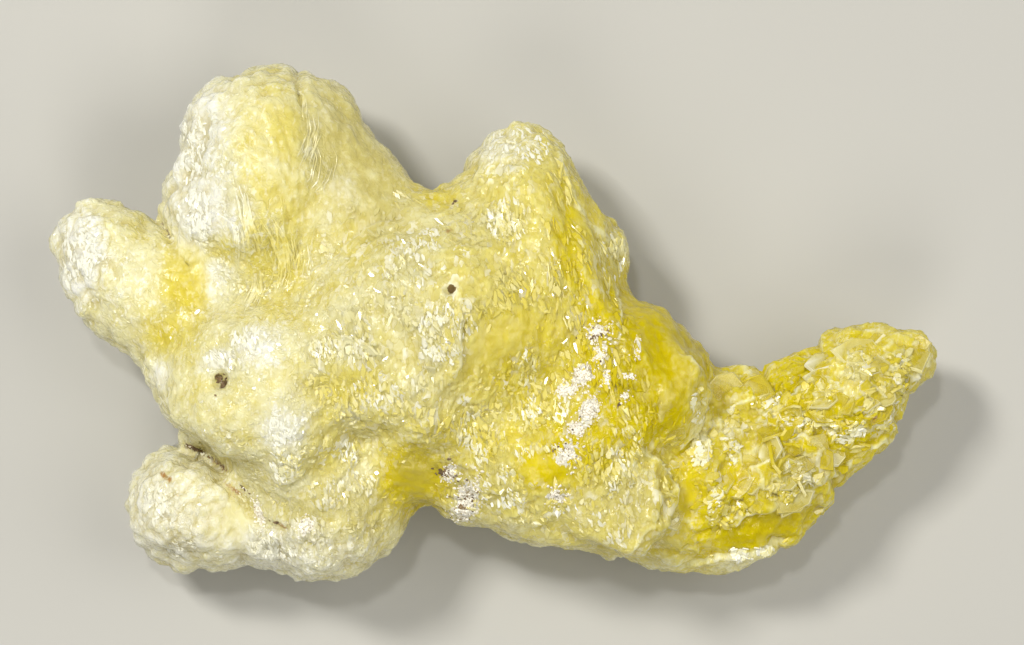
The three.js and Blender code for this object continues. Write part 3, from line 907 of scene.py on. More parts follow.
@dataclass
class Ground:
    """The skin, as something to set small crystals on.

    Attributes:
        skin: The finished skin.
        growth: Its sizes and zones.
        ceiling: A height in metres above everything.
        steepest: The least that the skin may face up where a crystal is set.
        roof: The solid's top in metres, which no crystal passes.
        bare: Spots where no crystal is set.
    """

    skin: Object
    growth: Growth
    ceiling: float = 0.03
    steepest: float = 0.05
    roof: float = field(default_factory=lambda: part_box(NODE)[1].z)
    bare: list[Zone] = field(default_factory=lambda: [
        Zone(-2.8, 2.35, 0.75, 0.75), Zone(-18.5, -3.8, 0.5, 0.7, -20), Zone(-21.2, 3.4, 1.7, 2.2),
        Zone(-4.0, 9.0, 1.7, 0.8, -20), Zone(18.7, -14.4, 3.2, 1.2, 13), Zone(12.1, -2.8, 1.2, 3.6, 15),
        Zone(13.4, -11.8, 0.7, 1.6), Zone(0.5, -1.0, 2.8, 1.5, 35), Zone(-5.4, -10.8, 1.6, 1.4),
        Zone(3.6, -10.0, 1.8, 1.0), Zone(-18.6, -14.0, 1.6, 2.2, 30),
    ])

    def __post_init__(self) -> None:
        """Makes the skin ready for finding its points."""
        shape = bmesh.new()
        shape.from_mesh(self.skin.data)
        self.tree = BVHTree.FromBMesh(shape)
        shape.free()

    def below(self, x: float, y: float) -> tuple[Vector, Vector] | None:
        """Finds the highest point of the ground over a point in plan.

        Args:
            x, y: The point in plan.

        Returns:
            The place and its normal, or None beside the ground and where it is too steep.
        """
        place, normal, _, _ = self.tree.ray_cast(Vector((x * MM, y * MM, self.ceiling)), -UP)
        if place is None or normal.z < self.steepest:
            return None
        return place / MM, normal

    def is_bare(self, x: float, y: float) -> bool:
        """Whether a point in plan is in a spot that stays bare."""
        return spread(self.bare, np.array([[x, y, 0.0]]))[0] > EDGE_WEIGHT


@dataclass
class Batches:
    """A piece of many small shapes, which are made some at a time because that is faster.

    Attributes:
        size: How many shapes are made at a time.
        count: How many have been made.
    """

    size: int
    count: int = 0

    def __post_init__(self) -> None:
        """Starts with nothing made."""
        self.whole, self.small = bmesh.new(), bmesh.new()
        self.carrier = bpy.data.meshes.new("carrier")

    def made_one(self) -> None:
        """Counts a shape, and adds the batch to the whole when it is full."""
        self.count += 1
        if self.count % self.size == 0:
            self.hand_over()
            self.small = bmesh.new()

    def hand_over(self) -> None:
        """Adds the batch to the whole and frees it."""
        self.small.to_mesh(self.carrier)
        self.small.free()
        self.whole.from_mesh(self.carrier)

    def finish(self, name: str, roof: float = math.inf) -> Object:
        """Makes the piece.

        Args:
            name: The piece's name.
            roof: A height in metres that none of its corners passes.

        Returns:
            The piece, without a material.
        """
        self.hand_over()
        for vert in self.whole.verts:
            vert.co.z = min(vert.co.z, roof)
        bpy.data.meshes.remove(self.carrier)
        return as_piece(name, self.whole)


@dataclass(frozen=True)
class Habit:
    """The shape of a small crystal and how it lies.

    Attributes:
        length: The least and greatest length.
        slim: The least and greatest width, as a share of the length.
        thick: The least and greatest thickness.
        tilt: The least and greatest angle in degrees between its face and the skin.
        heading: Which way its long side points.
        stray: How far in degrees its long side strays from that.
        sides: The least and greatest number of sides.
        uneven: How far its corners are off their places, as a share.
        taper: Its upper face's width, as a share of its lower face's.
        sunk: How far its middle is below the skin, as a share of its thickness.
        rim: The width of the pale rim of its upper face, a painted highlight, as a share of its width, or 0
            for none.
        white: How much whiter than the skin it is: partly paler crystals, partly painted glints.
        vary: How much yellower or paler than the skin it is.
        clear: How much one sees through its face, inside the rim.
        level: How much flatter than the skin it lies, from 0 to 1.
    """

    length: tuple[float, float]
    slim: tuple[float, float]
    thick: tuple[float, float]
    tilt: tuple[float, float]
    heading: Heading
    stray: float = 20.0
    sides: tuple[int, int] = (4, 6)
    uneven: float = 0.24
    taper: float = 0.8
    sunk: float = 0.3
    rim: float = 0.0
    white: float = 0.2
    vary: float = 0.07
    clear: float = 0.2
    level: float = 0.0


@dataclass(frozen=True)
class Slab:
    """One crystal that is listed with its place.

    Attributes:
        x, y: Its middle.
        length, width: Its size.
        turn: The turn of its long side in degrees, against the clock from +X.
        lean: The angle in degrees between its face and the skin.
    """

    x: float
    y: float
    length: float
    width: float
    turn: float
    lean: float = 5.0


@dataclass
class Crystals:
    """Small flat crystals of one habit, strewn over some zones of the skin.

    Attributes:
        name: The name of the piece.
        habit: What the crystals look like.
        zones: Where they grow.
        count: How many places are tried.
        seed: Picks the pattern.
        clump: The width of the thickets that they stand in.
        bare: How much of the zones stays bare between the thickets, from 0 to 1.
        batch: How many are made at a time.
        slabs: Crystals that are listed one by one and set before the others.
        foot_share: How pale the corners at the foot of a crystal are, as a share of its rim; this paleness is
            painted light on its walls.
        overhang: How far down the skin may fall away under a crystal's ends, as a share of its
            length.
        support: How far from its middle the skin is looked for, as a share of its length.
    """

    name: str
    habit: Habit
    zones: list[Zone]
    count: int
    seed: int
    clump: float = 2.4
    bare: float = 0.45
    batch: int = 250
    slabs: list[Slab] = field(default_factory=list)
    foot_share: float = 0.7
    overhang: float = 0.6
    support: float = 0.42

    def build(self, ground: Ground) -> Object:
        """Makes the crystals as one piece.

        Args:
            ground: The skin that they grow on.

        Returns:
            The piece, without a material.
        """
        chance = np.random.default_rng(self.seed)
        batches = Batches(self.batch)
        middles, corners, pale = [], [], []
        for slab in self.slabs + self.chosen(chance):
            hit = ground.below(slab.x, slab.y)
            if hit is None or not self.is_carried(slab, hit[0].z, ground):
                continue
            rims = self.set_crystal(batches.small, slab, *hit, chance)
            middles.append(hit[0][:])
            corners.append(len(rims))
            pale.extend(rims)
            batches.made_one()
        piece = batches.finish(self.name, ground.roof)
        self.keep_traits(piece.data, ground.growth, np.array(middles), corners, np.array(pale), chance)
        return piece

    def chosen(self, chance: np.random.Generator) -> list[Slab]:
        """Picks crystals, denser in the middle of a zone and in thickets.

        Args:
            chance: The source of random numbers.

        Returns:
            The crystals.
        """
        habit = self.habit
        areas = np.array([zone.rx * zone.ry * zone.strength for zone in self.zones])
        picked = chance.choice(len(self.zones), self.count, p=areas / areas.sum())
        places = np.zeros((self.count, 3))
        for row, zone in zip(places, (self.zones[number] for number in picked)):
            reach, angle = 1.15 * math.sqrt(chance.random()), chance.random() * 2 * math.pi
            row[0] = zone.x + zone.rx * reach * math.cos(angle)
            row[1] = zone.y + zone.ry * reach * math.sin(angle)
        thicket = 0.5 + 0.9 * wavy(places, self.clump, self.seed * 1.7)
        kept = thicket + 0.5 * (chance.random(self.count) - 0.5) > self.bare
        slabs = []
        for x, y, _ in places[kept].tolist():
            ranges = (habit.length, habit.slim, habit.tilt)
            length, slim, lean = (chance.uniform(*limits) for limits in ranges)
            turn = chance.uniform(0, 360) if habit.heading is Heading.ANY else habit.heading.value
            turn += habit.stray * 0.6 * chance.normal()
            slabs.append(Slab(x, y, length, length * slim, turn, lean * chance.choice((-1, 1))))
        return slabs

    def is_carried(self, slab: Slab, height: float, ground: Ground) -> bool:
        """Whether a crystal has ground under its ends and its sides, and isn't in a bare spot.

        Args:
            slab: The crystal.
            height: The height of the ground under its middle.
            ground: The skin that it grows on.

        Returns:
            True where it may be set, and always for one that is listed one by one.
        """
        if slab in self.slabs:
            return True
        if ground.is_bare(slab.x, slab.y):
            return False
        angle = math.radians(slab.turn)
        for reach, way in ((slab.length, angle), (slab.width, angle + math.pi / 2)):
            for aside in (-self.support * reach, self.support * reach):
                hit = ground.below(slab.x + aside * math.cos(way), slab.y + aside * math.sin(way))
                if hit is None or hit[0].z < height - self.overhang * reach:
                    return False
        return True

    def set_crystal(
        self, shape: BMesh, slab: Slab, place: Vector, normal: Vector, chance: np.random.Generator
    ) -> list[float]:
        """Sets one crystal into the skin.

        Args:
            shape: The batch that it is added to.
            slab: Its size and how it lies.
            place: The point of the skin under its middle.
            normal: The skin's normal there.
            chance: The source of random numbers.

        Returns:
            For each of its corners, 1 on the rim of its upper face and 0 elsewhere.
        """
        habit = self.habit
        normal = normal.lerp(UP, habit.level).normalized()
        sides = int(chance.integers(habit.sides[0], habit.sides[1] + 1))
        made = bmesh.ops.create_cone(
            shape, cap_ends=True, cap_tris=False, segments=sides, radius1=1, radius2=habit.taper, depth=1
        )
        verts = list(made["verts"])
        if habit.rim > 0:
            verts += self.rim_corners(shape, verts)
        rims = [self.rim_share(vert.co) for vert in verts]
        thick = chance.uniform(*habit.thick)
        uneven = {}
        for vert in verts:
            key = round(math.atan2(vert.co.y, vert.co.x), 2)
            if key not in uneven:
                uneven[key] = 1 + habit.uneven * chance.uniform(-1, 1)
            vert.co.x *= uneven[key]
            vert.co.y *= uneven[key]
        middle = place - normal * habit.sunk * thick
        turn = self.turned(slab, normal, math.radians(0.35 * slab.lean * chance.normal()))
        stretch = Matrix.Diagonal((slab.length / 2, slab.width / 2, thick, 1.0))
        matrix = Matrix.Translation(middle) @ turn.to_4x4() @ stretch
        for vert in verts:
            vert.co = (matrix @ vert.co) * MM
        return rims

    def rim_corners(self, shape: BMesh, verts: list[BMVert]) -> list[BMVert]:
        """Insets the upper face of a crystal.

        Args:
            shape: The batch that the crystal is in.
            verts: The crystal's corners.

        Returns:
            The corners that this adds.
        """
        known = set(verts)
        faces = {face for vert in verts for face in vert.link_faces}
        top = max(faces, key=lambda face: face.calc_center_median().z)
        inset = bmesh.ops.inset_region(shape, faces=[top], thickness=self.habit.rim, use_even_offset=True)
        corners = dict.fromkeys(vert for face in inset["faces"] for vert in face.verts)
        return [vert for vert in corners if vert not in known]

    def rim_share(self, corner: Vector) -> float:
        """1 on the rim of the upper face, less at the foot and 0 inside the rim."""
        if corner.z < 0:
            return self.foot_share
        return 1.0 if corner.xy.length > self.habit.taper - 0.5 * self.habit.rim else 0.0

    @staticmethod
    def turned(slab: Slab, normal: Vector, tip: float) -> Matrix:
        """The turn of a crystal: its long side along its heading, its face tilted off the skin.

        Args:
            slab: How it lies.
            normal: The skin's normal under it.
            tip: The angle in radians that its long side is lifted by.

        Returns:
            A turn matrix whose columns are its length, width and thickness.
        """
        angle, lean = math.radians(slab.turn), math.radians(slab.lean)
        along = Vector((math.cos(angle), math.sin(angle), 0.0))
        across = normal.cross(along).normalized()
        along = across.cross(normal)
        raised = normal * math.cos(lean) + across * math.sin(lean)
        raised = (raised * math.cos(tip) + along * math.sin(tip)).normalized()
        across = raised.cross(along).normalized()
        return Matrix((across.cross(raised), across, raised)).transposed()

    def keep_traits(
        self, mesh: Mesh, growth: Growth, middles: np.ndarray, corners: list[int],
        pale: np.ndarray, chance: np.random.Generator
    ) -> None:
        """Gives the crystals the traits of the skin under them, whiter on their rims.

        Args:
            mesh: The crystals' mesh, which is changed.
            growth: The skin's sizes and zones.
            middles: One place for each crystal.
            corners: How many corners each crystal has.
            pale: For each corner, 1 on a rim and 0 elsewhere.
            chance: The source of random numbers.
        """
        habit = self.habit
        shares = {
            trait: np.repeat(values, corners)
            for trait, values in growth.traits(middles, np.full(len(middles), 0.1)).items()
        }
        bright = 0.25 + 0.75 * smooth_step(wavy(middles, 1.9, 2.0 + self.seed), -0.25, 0.45)
        # Crystals whiter at random: partly paler crystals, partly painted glints.
        pale_and_glint = np.repeat(habit.white * bright * chance.random(len(middles)) * 1.8, corners)
        if habit.rim > 0:
            # On the rims the paler colour is a painted highlight.
            pale_and_glint = pale_and_glint * 0.5 + 0.9 * pale * np.repeat(chance.random(len(middles)) ** 1.5, corners)
        shares[Trait.FROST_AND_HIGHLIGHT] = np.clip(shares[Trait.FROST_AND_HIGHLIGHT] + pale_and_glint, 0.0, 1.2)
        hue = np.repeat(habit.vary * chance.uniform(-1, 1, len(middles)), corners)
        hue = hue - 0.75 * np.clip(pale_and_glint, 0.0, 1.0) * shares[Trait.YELLOW]
        shares[Trait.YELLOW] = np.clip(shares[Trait.YELLOW] + hue, 0.0, 1.2)
        shares[Trait.SOLID] = 1.0 - habit.clear * (1.0 - 0.8 * pale)
        for absent in (Trait.CRUST, Trait.ROCK, Trait.RUST):
            shares[absent] = np.zeros(len(pale))
        note_traits(mesh, shares)


@dataclass(frozen=True)
class Bundle:
    """Some fibres that run side by side.

    Attributes:
        path: The points that the middle of the bundle runs through.
        count: How many fibres it has.
        spread: How far they are from its middle.
    """

    path: tuple[tuple[float, float], ...]
    count: int
    spread: float


@dataclass
class Fibres:
    """Silky fibres that hang over the crown, each one a thin ridge half sunk in the skin.

    Attributes:
        bundles: Where they run.
        name: The name of the piece.
        thick: The least and greatest half width.
        more: How many more fibres than a bundle's count are laid.
        steps: How many pieces each is bent into.
        sides: How many sides its section has.
        sunk: How far its middle is below the skin, as a share of its half width.
        sway: How far it sways from side to side.
        white: How much whiter than the skin it is.
        seed: Picks the pattern.
    """

    bundles: list[Bundle]
    name: str = "crown_fibres"
    thick: tuple[float, float] = (0.04, 0.08)
    more: float = 1.7
    steps: int = 12
    sides: int = 6
    sunk: float = 0.5
    sway: float = 0.1
    white: float = 0.3
    seed: int = 21

    def build(self, ground: Ground) -> Object:
        """Makes the fibres as one piece.

        Args:
            ground: The skin that they lie on.

        Returns:
            The piece, without a material.
        """
        chance = np.random.default_rng(self.seed)
        shape = bmesh.new()
        for bundle in self.bundles:
            for _ in range(round(bundle.count * self.more)):
                thick = chance.uniform(*self.thick)
                points = self.trace(bundle, ground, thick, chance)
                if len(points) > 3:
                    self.draw(shape, points, thick)
        piece = as_piece(self.name, shape)
        places = np.array([corner.co[:] for corner in piece.data.vertices]) / MM
        shares = ground.growth.traits(places, np.full(len(places), 0.1))
        shares[Trait.FROST_AND_HIGHLIGHT] = np.clip(shares[Trait.FROST_AND_HIGHLIGHT] + self.white, 0.0, 1.0)
        shares[Trait.SOLID] = np.ones(len(places))
        note_traits(piece.data, shares)
        piece.data.shade_smooth()
        return piece

    def trace(
        self, bundle: Bundle, ground: Ground, thick: float, chance: np.random.Generator
    ) -> list[Vector]:
        """The points that one fibre of a bundle runs through.

        Args:
            bundle: The bundle.
            ground: The skin.
            thick: The fibre's half width.
            chance: The source of random numbers.

        Returns:
            The points, from its upper end down.
        """
        first = 0.4 * chance.random()
        last = first + (1.0 - first) * chance.uniform(0.6, 1.0)
        aside, drift = chance.normal(0, bundle.spread, 2), chance.normal(0, 0.12 * bundle.spread, 2)
        reach = len(bundle.path) - 1
        points = []
        for step in range(self.steps + 1):
            share = (first + (last - first) * step / self.steps) * reach
            number = min(int(share), reach - 1)
            start, end = Vector(bundle.path[number]), Vector(bundle.path[number + 1])
            middle = start.lerp(end, share - number)
            wave = self.sway * noise.noise((aside[0] * 9.0, share * 1.3, 2.0))
            hit = ground.below(
                middle.x + aside[0] + drift[0] * share + wave, middle.y + 0.4 * aside[1] + drift[1] * share
            )
            if hit is not None:
                points.append(hit[0] - hit[1] * self.sunk * thick)
        return points

    def draw(self, shape: BMesh, path: list[Vector], thick: float) -> None:
        """Draws one fibre as a closed tube that is pointed at both ends.

        Args:
            shape: The mesh that it is added to.
            path: The points that it runs through.
            thick: Its half width in the middle.
        """
        ring = bmesh.ops.create_circle(shape, cap_ends=True, segments=self.sides, radius=1)["verts"]
        rings = [ring]
        edges = list(dict.fromkeys(edge for vert in ring for edge in vert.link_edges))
        for _ in path[1:]:
            grown = bmesh.ops.extrude_edge_only(shape, edges=edges)["geom"]
            ring = [item for item in grown if isinstance(item, BMVert)]
            edges = [
                item for item in grown
                if isinstance(item, BMEdge) and all(vert in ring for vert in item.verts)
            ]
            rings.append(ring)
        bmesh.ops.contextual_create(shape, geom=rings[-1])
        for number, (ring, place) in enumerate(zip(rings, path)):
            along = (path[min(number + 1, len(path) - 1)] - path[max(number - 1, 0)]).normalized()
            turn = along.to_track_quat("Z", "Y").to_matrix()
            width = thick * (0.15 + math.sin(math.pi * number / (len(path) - 1)) ** 0.6)
            for vert in ring:
                vert.co = (place + turn @ (vert.co * width)) * MM


@dataclass
class Crumbs:
    """White crust and dark grains of rock, as small uneven lumps on the skin.

    Attributes:
        heaps: Where they are.
        name: The name of the piece.
        width: The least and greatest half width of a lump.
        long: The least and greatest length of a lump, as a share of its width.
        flat: Its height, as a share of its width.
        rough: The least and greatest distance of its corners from its middle, as a share.
        more: How many more lumps than a heap's count are tried.
        seed: Picks the pattern.
        batch: How many are made at a time.
    """

    heaps: list[Heap]
    name: str = "crust"
    width: tuple[float, float] = (0.05, 0.15)
    long: tuple[float, float] = (0.8, 1.6)
    flat: float = 0.8
    rough: tuple[float, float] = (0.6, 1.25)
    more: float = 1.9
    seed: int = 31
    batch: int = 120

    def build(self, ground: Ground) -> Object:
        """Makes the crumbs as one piece.

        Args:
            ground: The skin that they sit on.

        Returns:
            The piece, without a material.
        """
        chance = np.random.default_rng(self.seed)
        batches, dark = Batches(self.batch), []
        for heap in self.heaps:
            for _ in range(round(heap.count * self.more)):
                hit = self.spot(heap, ground, chance)
                if hit is None:
                    continue
                corners = self.crumb(batches.small, *hit, chance)
                dark.extend([1.0 if chance.random() < heap.dark else 0.0] * corners)
                batches.made_one()
        piece = batches.finish(self.name)
        note_traits(piece.data, {Trait.ROCK: np.array(dark)})
        return piece

    @staticmethod
    def spot(heap: Heap, ground: Ground, chance: np.random.Generator) -> tuple[Vector, Vector] | None:
        """Picks a point of the skin in a heap, denser towards its middle.

        Args:
            heap: The heap.
            ground: The skin.
            chance: The source of random numbers.

        Returns:
            The place and its normal, or None where there is no skin.
        """
        angle, reach = chance.random() * 2 * math.pi, min(abs(chance.normal()) * 0.6, 1.4)
        x, y = math.cos(angle), math.sin(angle)
        reach *= 1.0 + 0.7 * noise.noise((3.0 * x + heap.x, 3.0 * y + heap.y, 0.0))
        along, across = heap.rx * reach * x, heap.ry * reach * y
        turn = math.radians(heap.turn)
        return ground.below(
            heap.x + along * math.cos(turn) - across * math.sin(turn),
            heap.y + along * math.sin(turn) + across * math.cos(turn),
        )

    def crumb(self, shape: BMesh, place: Vector, normal: Vector, chance: np.random.Generator) -> int:
        """Sets one lump on the skin.

        Args:
            shape: The batch that it is added to.
            place: The point of the skin under its middle.
            normal: The skin's normal there.
            chance: The source of random numbers.

        Returns:
            Its number of corners.
        """
        width = chance.uniform(*self.width) * chance.uniform(0.6, 1.0)
        verts = bmesh.ops.create_icosphere(shape, subdivisions=1, radius=1)["verts"]
        squash = Matrix.Diagonal((width * chance.uniform(*self.long), width, width * self.flat))
        turn = normal.to_track_quat("Z", "Y").to_matrix() @ Matrix.Rotation(chance.random() * 6.3, 3, "Z")
        for vert in verts:
            vert.co = (place + turn @ (squash @ (vert.co * chance.uniform(*self.rough)))) * MM
        return len(verts)


class Sheet:
    """One node tree, with short ways to add and join its nodes."""

    def __init__(self, tree: NodeTree) -> None:
        """Takes the tree to write in."""
        self.tree = tree

    def node(self, kind: str, **settings: object) -> Node:
        """Adds a node and sets its own properties."""
        added = self.tree.nodes.new(kind)
        for name, value in settings.items():
            setattr(added, name, value)
        return added

    def feed(self, target: NodeSocket, source: object) -> None:
        """Joins an output to an input, or sets the input to a plain value."""
        if isinstance(source, NodeSocket):
            self.tree.links.new(source, target)
        else:
            target.default_value = source

    def fill(self, node: Node, inputs: dict[str, object]) -> None:
        """Joins or sets several inputs of a node, by their names."""
        for name, source in inputs.items():
            self.feed(node.inputs[name], source)

    def compute(self, operation: str, *values: object) -> NodeSocket:
        """The result of a Math node."""
        node = self.node("ShaderNodeMath", operation=operation)
        for socket, value in zip(node.inputs, values):
            self.feed(socket, value)
        return node.outputs[0]

    def times(self, first: object, *others: object) -> NodeSocket:
        """The product of two or more values."""
        product = first
        for other in others:
            product = self.compute("MULTIPLY", product, other)
        return product

    def plus(self, first: object, second: object) -> NodeSocket:
        """The sum of two values."""
        return self.compute("ADD", first, second)

    def less(self, first: object, second: object) -> NodeSocket:
        """The first value less the second."""
        return self.compute("SUBTRACT", first, second)

    def most(self, first: object, second: object) -> NodeSocket:
        """The greater of two values."""
        return self.compute("MAXIMUM", first, second)

    def vector(self, operation: str, *values: object) -> NodeSocket:
        """The result of a Vector Math node.

        Args:
            operation: What it does.
            values: Its inputs, in order.

        Returns:
            The resulting vector.
        """
        node = self.node("ShaderNodeVectorMath", operation=operation)
        sockets = [node.inputs[0], node.inputs["Scale"]] if operation == "SCALE" else node.inputs
        for socket, value in zip(sockets, values):
            self.feed(socket, value)
        return node.outputs[0]

    def grade(
        self, value: object, low: float, high: float, start: float = 0.0, end: float = 1.0
    ) -> NodeSocket:
        """A value graded smoothly from one range to another."""
        node = self.node("ShaderNodeMapRange", interpolation_type="SMOOTHSTEP")
        self.fill(node, {"Value": value, "From Min": low, "From Max": high, "To Min": start, "To Max": end})
        return node.outputs["Result"]

    def blend(self, share: object, first: object, second: object) -> NodeSocket:
        """Two colours mixed by a share; a colour may be a display code."""
        node = self.node("ShaderNodeMix", data_type="RGBA")
        for socket, value in zip((node.inputs[0], node.inputs[6], node.inputs[7]), (share, first, second)):
            self.feed(socket, linear(value) if isinstance(value, str) else value)
        return node.outputs[2]

    def trait(self, trait: Trait) -> NodeSocket:
        """The share of a trait at the shaded point."""
        return self.node("ShaderNodeAttribute", attribute_name=trait.value).outputs["Fac"]

    def places(self, waves: float | tuple[float, float, float], turn: float = 0.0) -> NodeSocket:
        """Object coordinates counted in waves.

        Args:
            waves: The length of a wave in millimetres, or one length for each axis.
            turn: How far the axes are turned, in degrees.

        Returns:
            The coordinates.
        """
        lengths = waves if isinstance(waves, tuple) else (waves, waves, waves)
        mapping = self.node("ShaderNodeMapping")
        self.feed(mapping.inputs["Vector"], self.node("ShaderNodeTexCoord").outputs["Object"])
        mapping.inputs["Rotation"].default_value = (0.0, 0.0, math.radians(turn))
        mapping.inputs["Scale"].default_value = [1.0 / (wave * MM) for wave in lengths]
        return mapping.outputs["Vector"]

    def noise(self, places: NodeSocket, detail: float = 2.0, warp: float = 0.0, scale: float = 1.0) -> Node:
        """A Noise texture."""
        node = self.node("ShaderNodeTexNoise")
        self.fill(node, {"Vector": places, "Scale": scale, "Detail": detail, "Distortion": warp})
        return node

    def cells(self, places: NodeSocket, feature: str = "F1") -> Node:
        """A Voronoi texture at scale 1."""
        node = self.node("ShaderNodeTexVoronoi", feature=feature)
        self.fill(node, {"Vector": places, "Scale": 1.0})
        return node

    def red(self, colour: NodeSocket) -> NodeSocket:
        """The red share of a colour, used as a random number."""
        split = self.node("ShaderNodeSeparateColor")
        self.feed(split.inputs["Color"], colour)
        return split.outputs["Red"]

    def bump(self, height: object, strength: float, distance: float) -> Node:
        """A Bump node for a height, its distance in millimetres."""
        node = self.node("ShaderNodeBump")
        self.fill(node, {"Height": height, "Strength": strength, "Distance": distance * MM})
        return node


@dataclass
class Group:
    """A shader node group that is being written.

    Attributes:
        name: The group's name.
        inputs: Each input's type, such as Float, and its first value.
        outputs: Each output's type.
    """

    name: str
    inputs: dict[str, tuple[str, float]]
    outputs: dict[str, str]

    def __post_init__(self) -> None:
        """Makes the group with its sockets."""
        self.tree = bpy.data.node_groups.new(self.name, "ShaderNodeTree")
        for label, (kind, value) in self.inputs.items():
            socket = self.tree.interface.new_socket(
                name=label, in_out="INPUT", socket_type="NodeSocket" + kind
            )
            if kind == "Float":
                socket.default_value = value
        for label, kind in self.outputs.items():
            self.tree.interface.new_socket(name=label, in_out="OUTPUT", socket_type="NodeSocket" + kind)
        self.sheet = Sheet(self.tree)
        self.given = self.sheet.node("NodeGroupInput").outputs
        self.result = self.sheet.node("NodeGroupOutput")


def glint_group() -> NodeTree:
    """Makes the effect of tiny cleavage faces that each lean their own way.

    Returns:
        A group that takes Places, Lean and how far the pattern is Bent, and gives for each face
        its Normal and a random Chance, and on its outline Edge.
    """
    group = Group(
        "cleavage glints",
        {"Places": ("Vector", 0.0), "Lean": ("Float", 0.3), "Bent": ("Float", 0.8)},
        {"Normal": "Vector", "Chance": "Float", "Edge": "Float"},
    )
    sheet, given = group.sheet, group.given
    shift = sheet.noise(given["Places"], detail=1.0, scale=0.8).outputs["Color"]
    bent = sheet.vector("ADD", given["Places"], sheet.vector("SCALE", shift, given["Bent"]))
    faces, outline = sheet.cells(bent), sheet.cells(bent, "DISTANCE_TO_EDGE")
    centred = sheet.vector("SUBTRACT", faces.outputs["Color"], (0.5, 0.5, 0.5))
    leaning = sheet.vector("SCALE", centred, given["Lean"])
    facing = sheet.node("ShaderNodeNewGeometry").outputs["Normal"]
    sheet.fill(group.result, {
        "Normal": sheet.vector("NORMALIZE", sheet.vector("ADD", facing, leaning)),
        "Chance": sheet.red(faces.outputs["Color"]),
        "Edge": sheet.grade(outline.outputs["Distance"], 0.0, 0.12, 1.0, 0.0),
    })
    return group.tree


@dataclass(frozen=True)
class Palette:
    """The colours of brucite, from milky to saturated, and of what grows or sits on it.

    Attributes:
        milk, butter, deep, olive: The brucite, from pale to its deepest yellow.
        painted_shade_tone: The painted shade in its crevices.
        smoke: Its thick, greyer parts.
        frost_and_highlight, cream: Its whitened skin, where it is pale and where it is yellow: partly white
            frosting, partly painted highlight.
        crust, crust_shade: The white crust and its hollows.
        rock, rust: The dark rock and the rusty stains.
    """

    milk: str = "ebe7ba"
    butter: str = "e2d676"
    deep: str = "dcc900"
    olive: str = "bcaa00"
    painted_shade_tone: str = "cabc74"
    smoke: str = "c8bd74"
    frost_and_highlight: str = "fcfcf0"
    cream: str = "f4eeb0"
    crust: str = "fbf5e4"
    crust_shade: str = "b9a67c"
    rock: str = "776030"
    rust: str = "b08448"

    def group(self) -> NodeTree:
        """Makes the colouring that the skin and the crystals share.

        Returns:
            A group that takes the amount of Mottling and gives Color, Dull, Fine and Cloud.
        """
        group = Group(
            "brucite colours",
            {"Mottling": ("Float", 0.5)},
            {"Color": "Color", "Dull": "Float", "Fine": "Float", "Cloud": "Float"},
        )
        sheet, mottling = group.sheet, group.given["Mottling"]
        cloud = sheet.noise(sheet.places(1.5), 3.0).outputs["Fac"]
        fine = sheet.noise(sheet.places((0.3, 0.5, 0.3), -14.0), 3.0).outputs["Fac"]
        drift = sheet.times(sheet.less(cloud, 0.5), sheet.times(mottling, 1.6))
        grain = sheet.times(sheet.less(fine, 0.5), sheet.times(mottling, 3.0))

        shift = sheet.noise(sheet.places(0.9), detail=1.0).outputs["Color"]
        patches = sheet.cells(sheet.vector("ADD", sheet.places(0.62), sheet.vector("SCALE", shift, 1.6)))
        patch = sheet.times(sheet.less(sheet.red(patches.outputs["Color"]), 0.5), mottling)
        drift = sheet.plus(drift, sheet.times(patch, 0.25))
        grain = sheet.plus(grain, sheet.times(patch, 0.7))

        yellow = sheet.trait(Trait.YELLOW)
        tone = sheet.plus(yellow, drift)
        colour = sheet.blend(sheet.grade(tone, 0.0, 0.45), self.milk, self.butter)
        colour = sheet.blend(sheet.grade(tone, 0.4, 0.85), colour, self.deep)
        colour = sheet.blend(sheet.times(sheet.grade(tone, 0.85, 1.25), 0.6), colour, self.olive)
        calm = sheet.times(grain, sheet.grade(yellow, 0.55, 1.1, 1.0, 0.3))
        # Whitening: white frosting and painted highlights alike.
        frost_and_highlight_share = sheet.grade(sheet.plus(sheet.trait(Trait.FROST_AND_HIGHLIGHT), calm), 0.08, 0.72)
        pale = sheet.blend(sheet.grade(yellow, 0.05, 0.6), self.frost_and_highlight, self.cream)
        colour = sheet.blend(sheet.times(frost_and_highlight_share, 0.9), colour, pale)
        smoke = sheet.times(sheet.trait(Trait.SMOKY), sheet.grade(cloud, 0.3, 0.6, 0.45, 1.0))
        colour = sheet.blend(smoke, colour, self.smoke)
        # Painted shade in the crevices.
        painted_shade = sheet.times(sheet.trait(Trait.CREVICE_SHADE), 0.6)
        colour = sheet.blend(painted_shade, colour, sheet.blend(tone, self.painted_shade_tone, self.olive))
        crusted = self.broken_up(sheet, Trait.CRUST, fine, 0.62, (0.28, 0.5))
        chalky = sheet.blend(sheet.grade(fine, 0.36, 0.5, 1.0, 0.0), self.crust, self.crust_shade)
        colour = sheet.blend(crusted, colour, chalky)
        colour = sheet.blend(self.broken_up(sheet, Trait.RUST, fine, 0.6, (0.25, 0.7)), colour, self.rust)
        rocky = self.broken_up(sheet, Trait.ROCK, fine, 0.6, (0.35, 0.6))
        colour = sheet.blend(rocky, colour, self.rock)
        sheet.fill(group.result, {
            "Color": colour, "Dull": sheet.most(crusted, rocky), "Fine": fine, "Cloud": cloud,
        })
        return group.tree

    @staticmethod
    def broken_up(
        sheet: Sheet, trait: Trait, fine: NodeSocket, middle: float, edge: tuple[float, float]
    ) -> NodeSocket:
        """The share of what sits on the skin, its edge broken up by fine noise round a middle."""
        return sheet.grade(sheet.plus(sheet.trait(trait), sheet.less(fine, middle)), *edge)


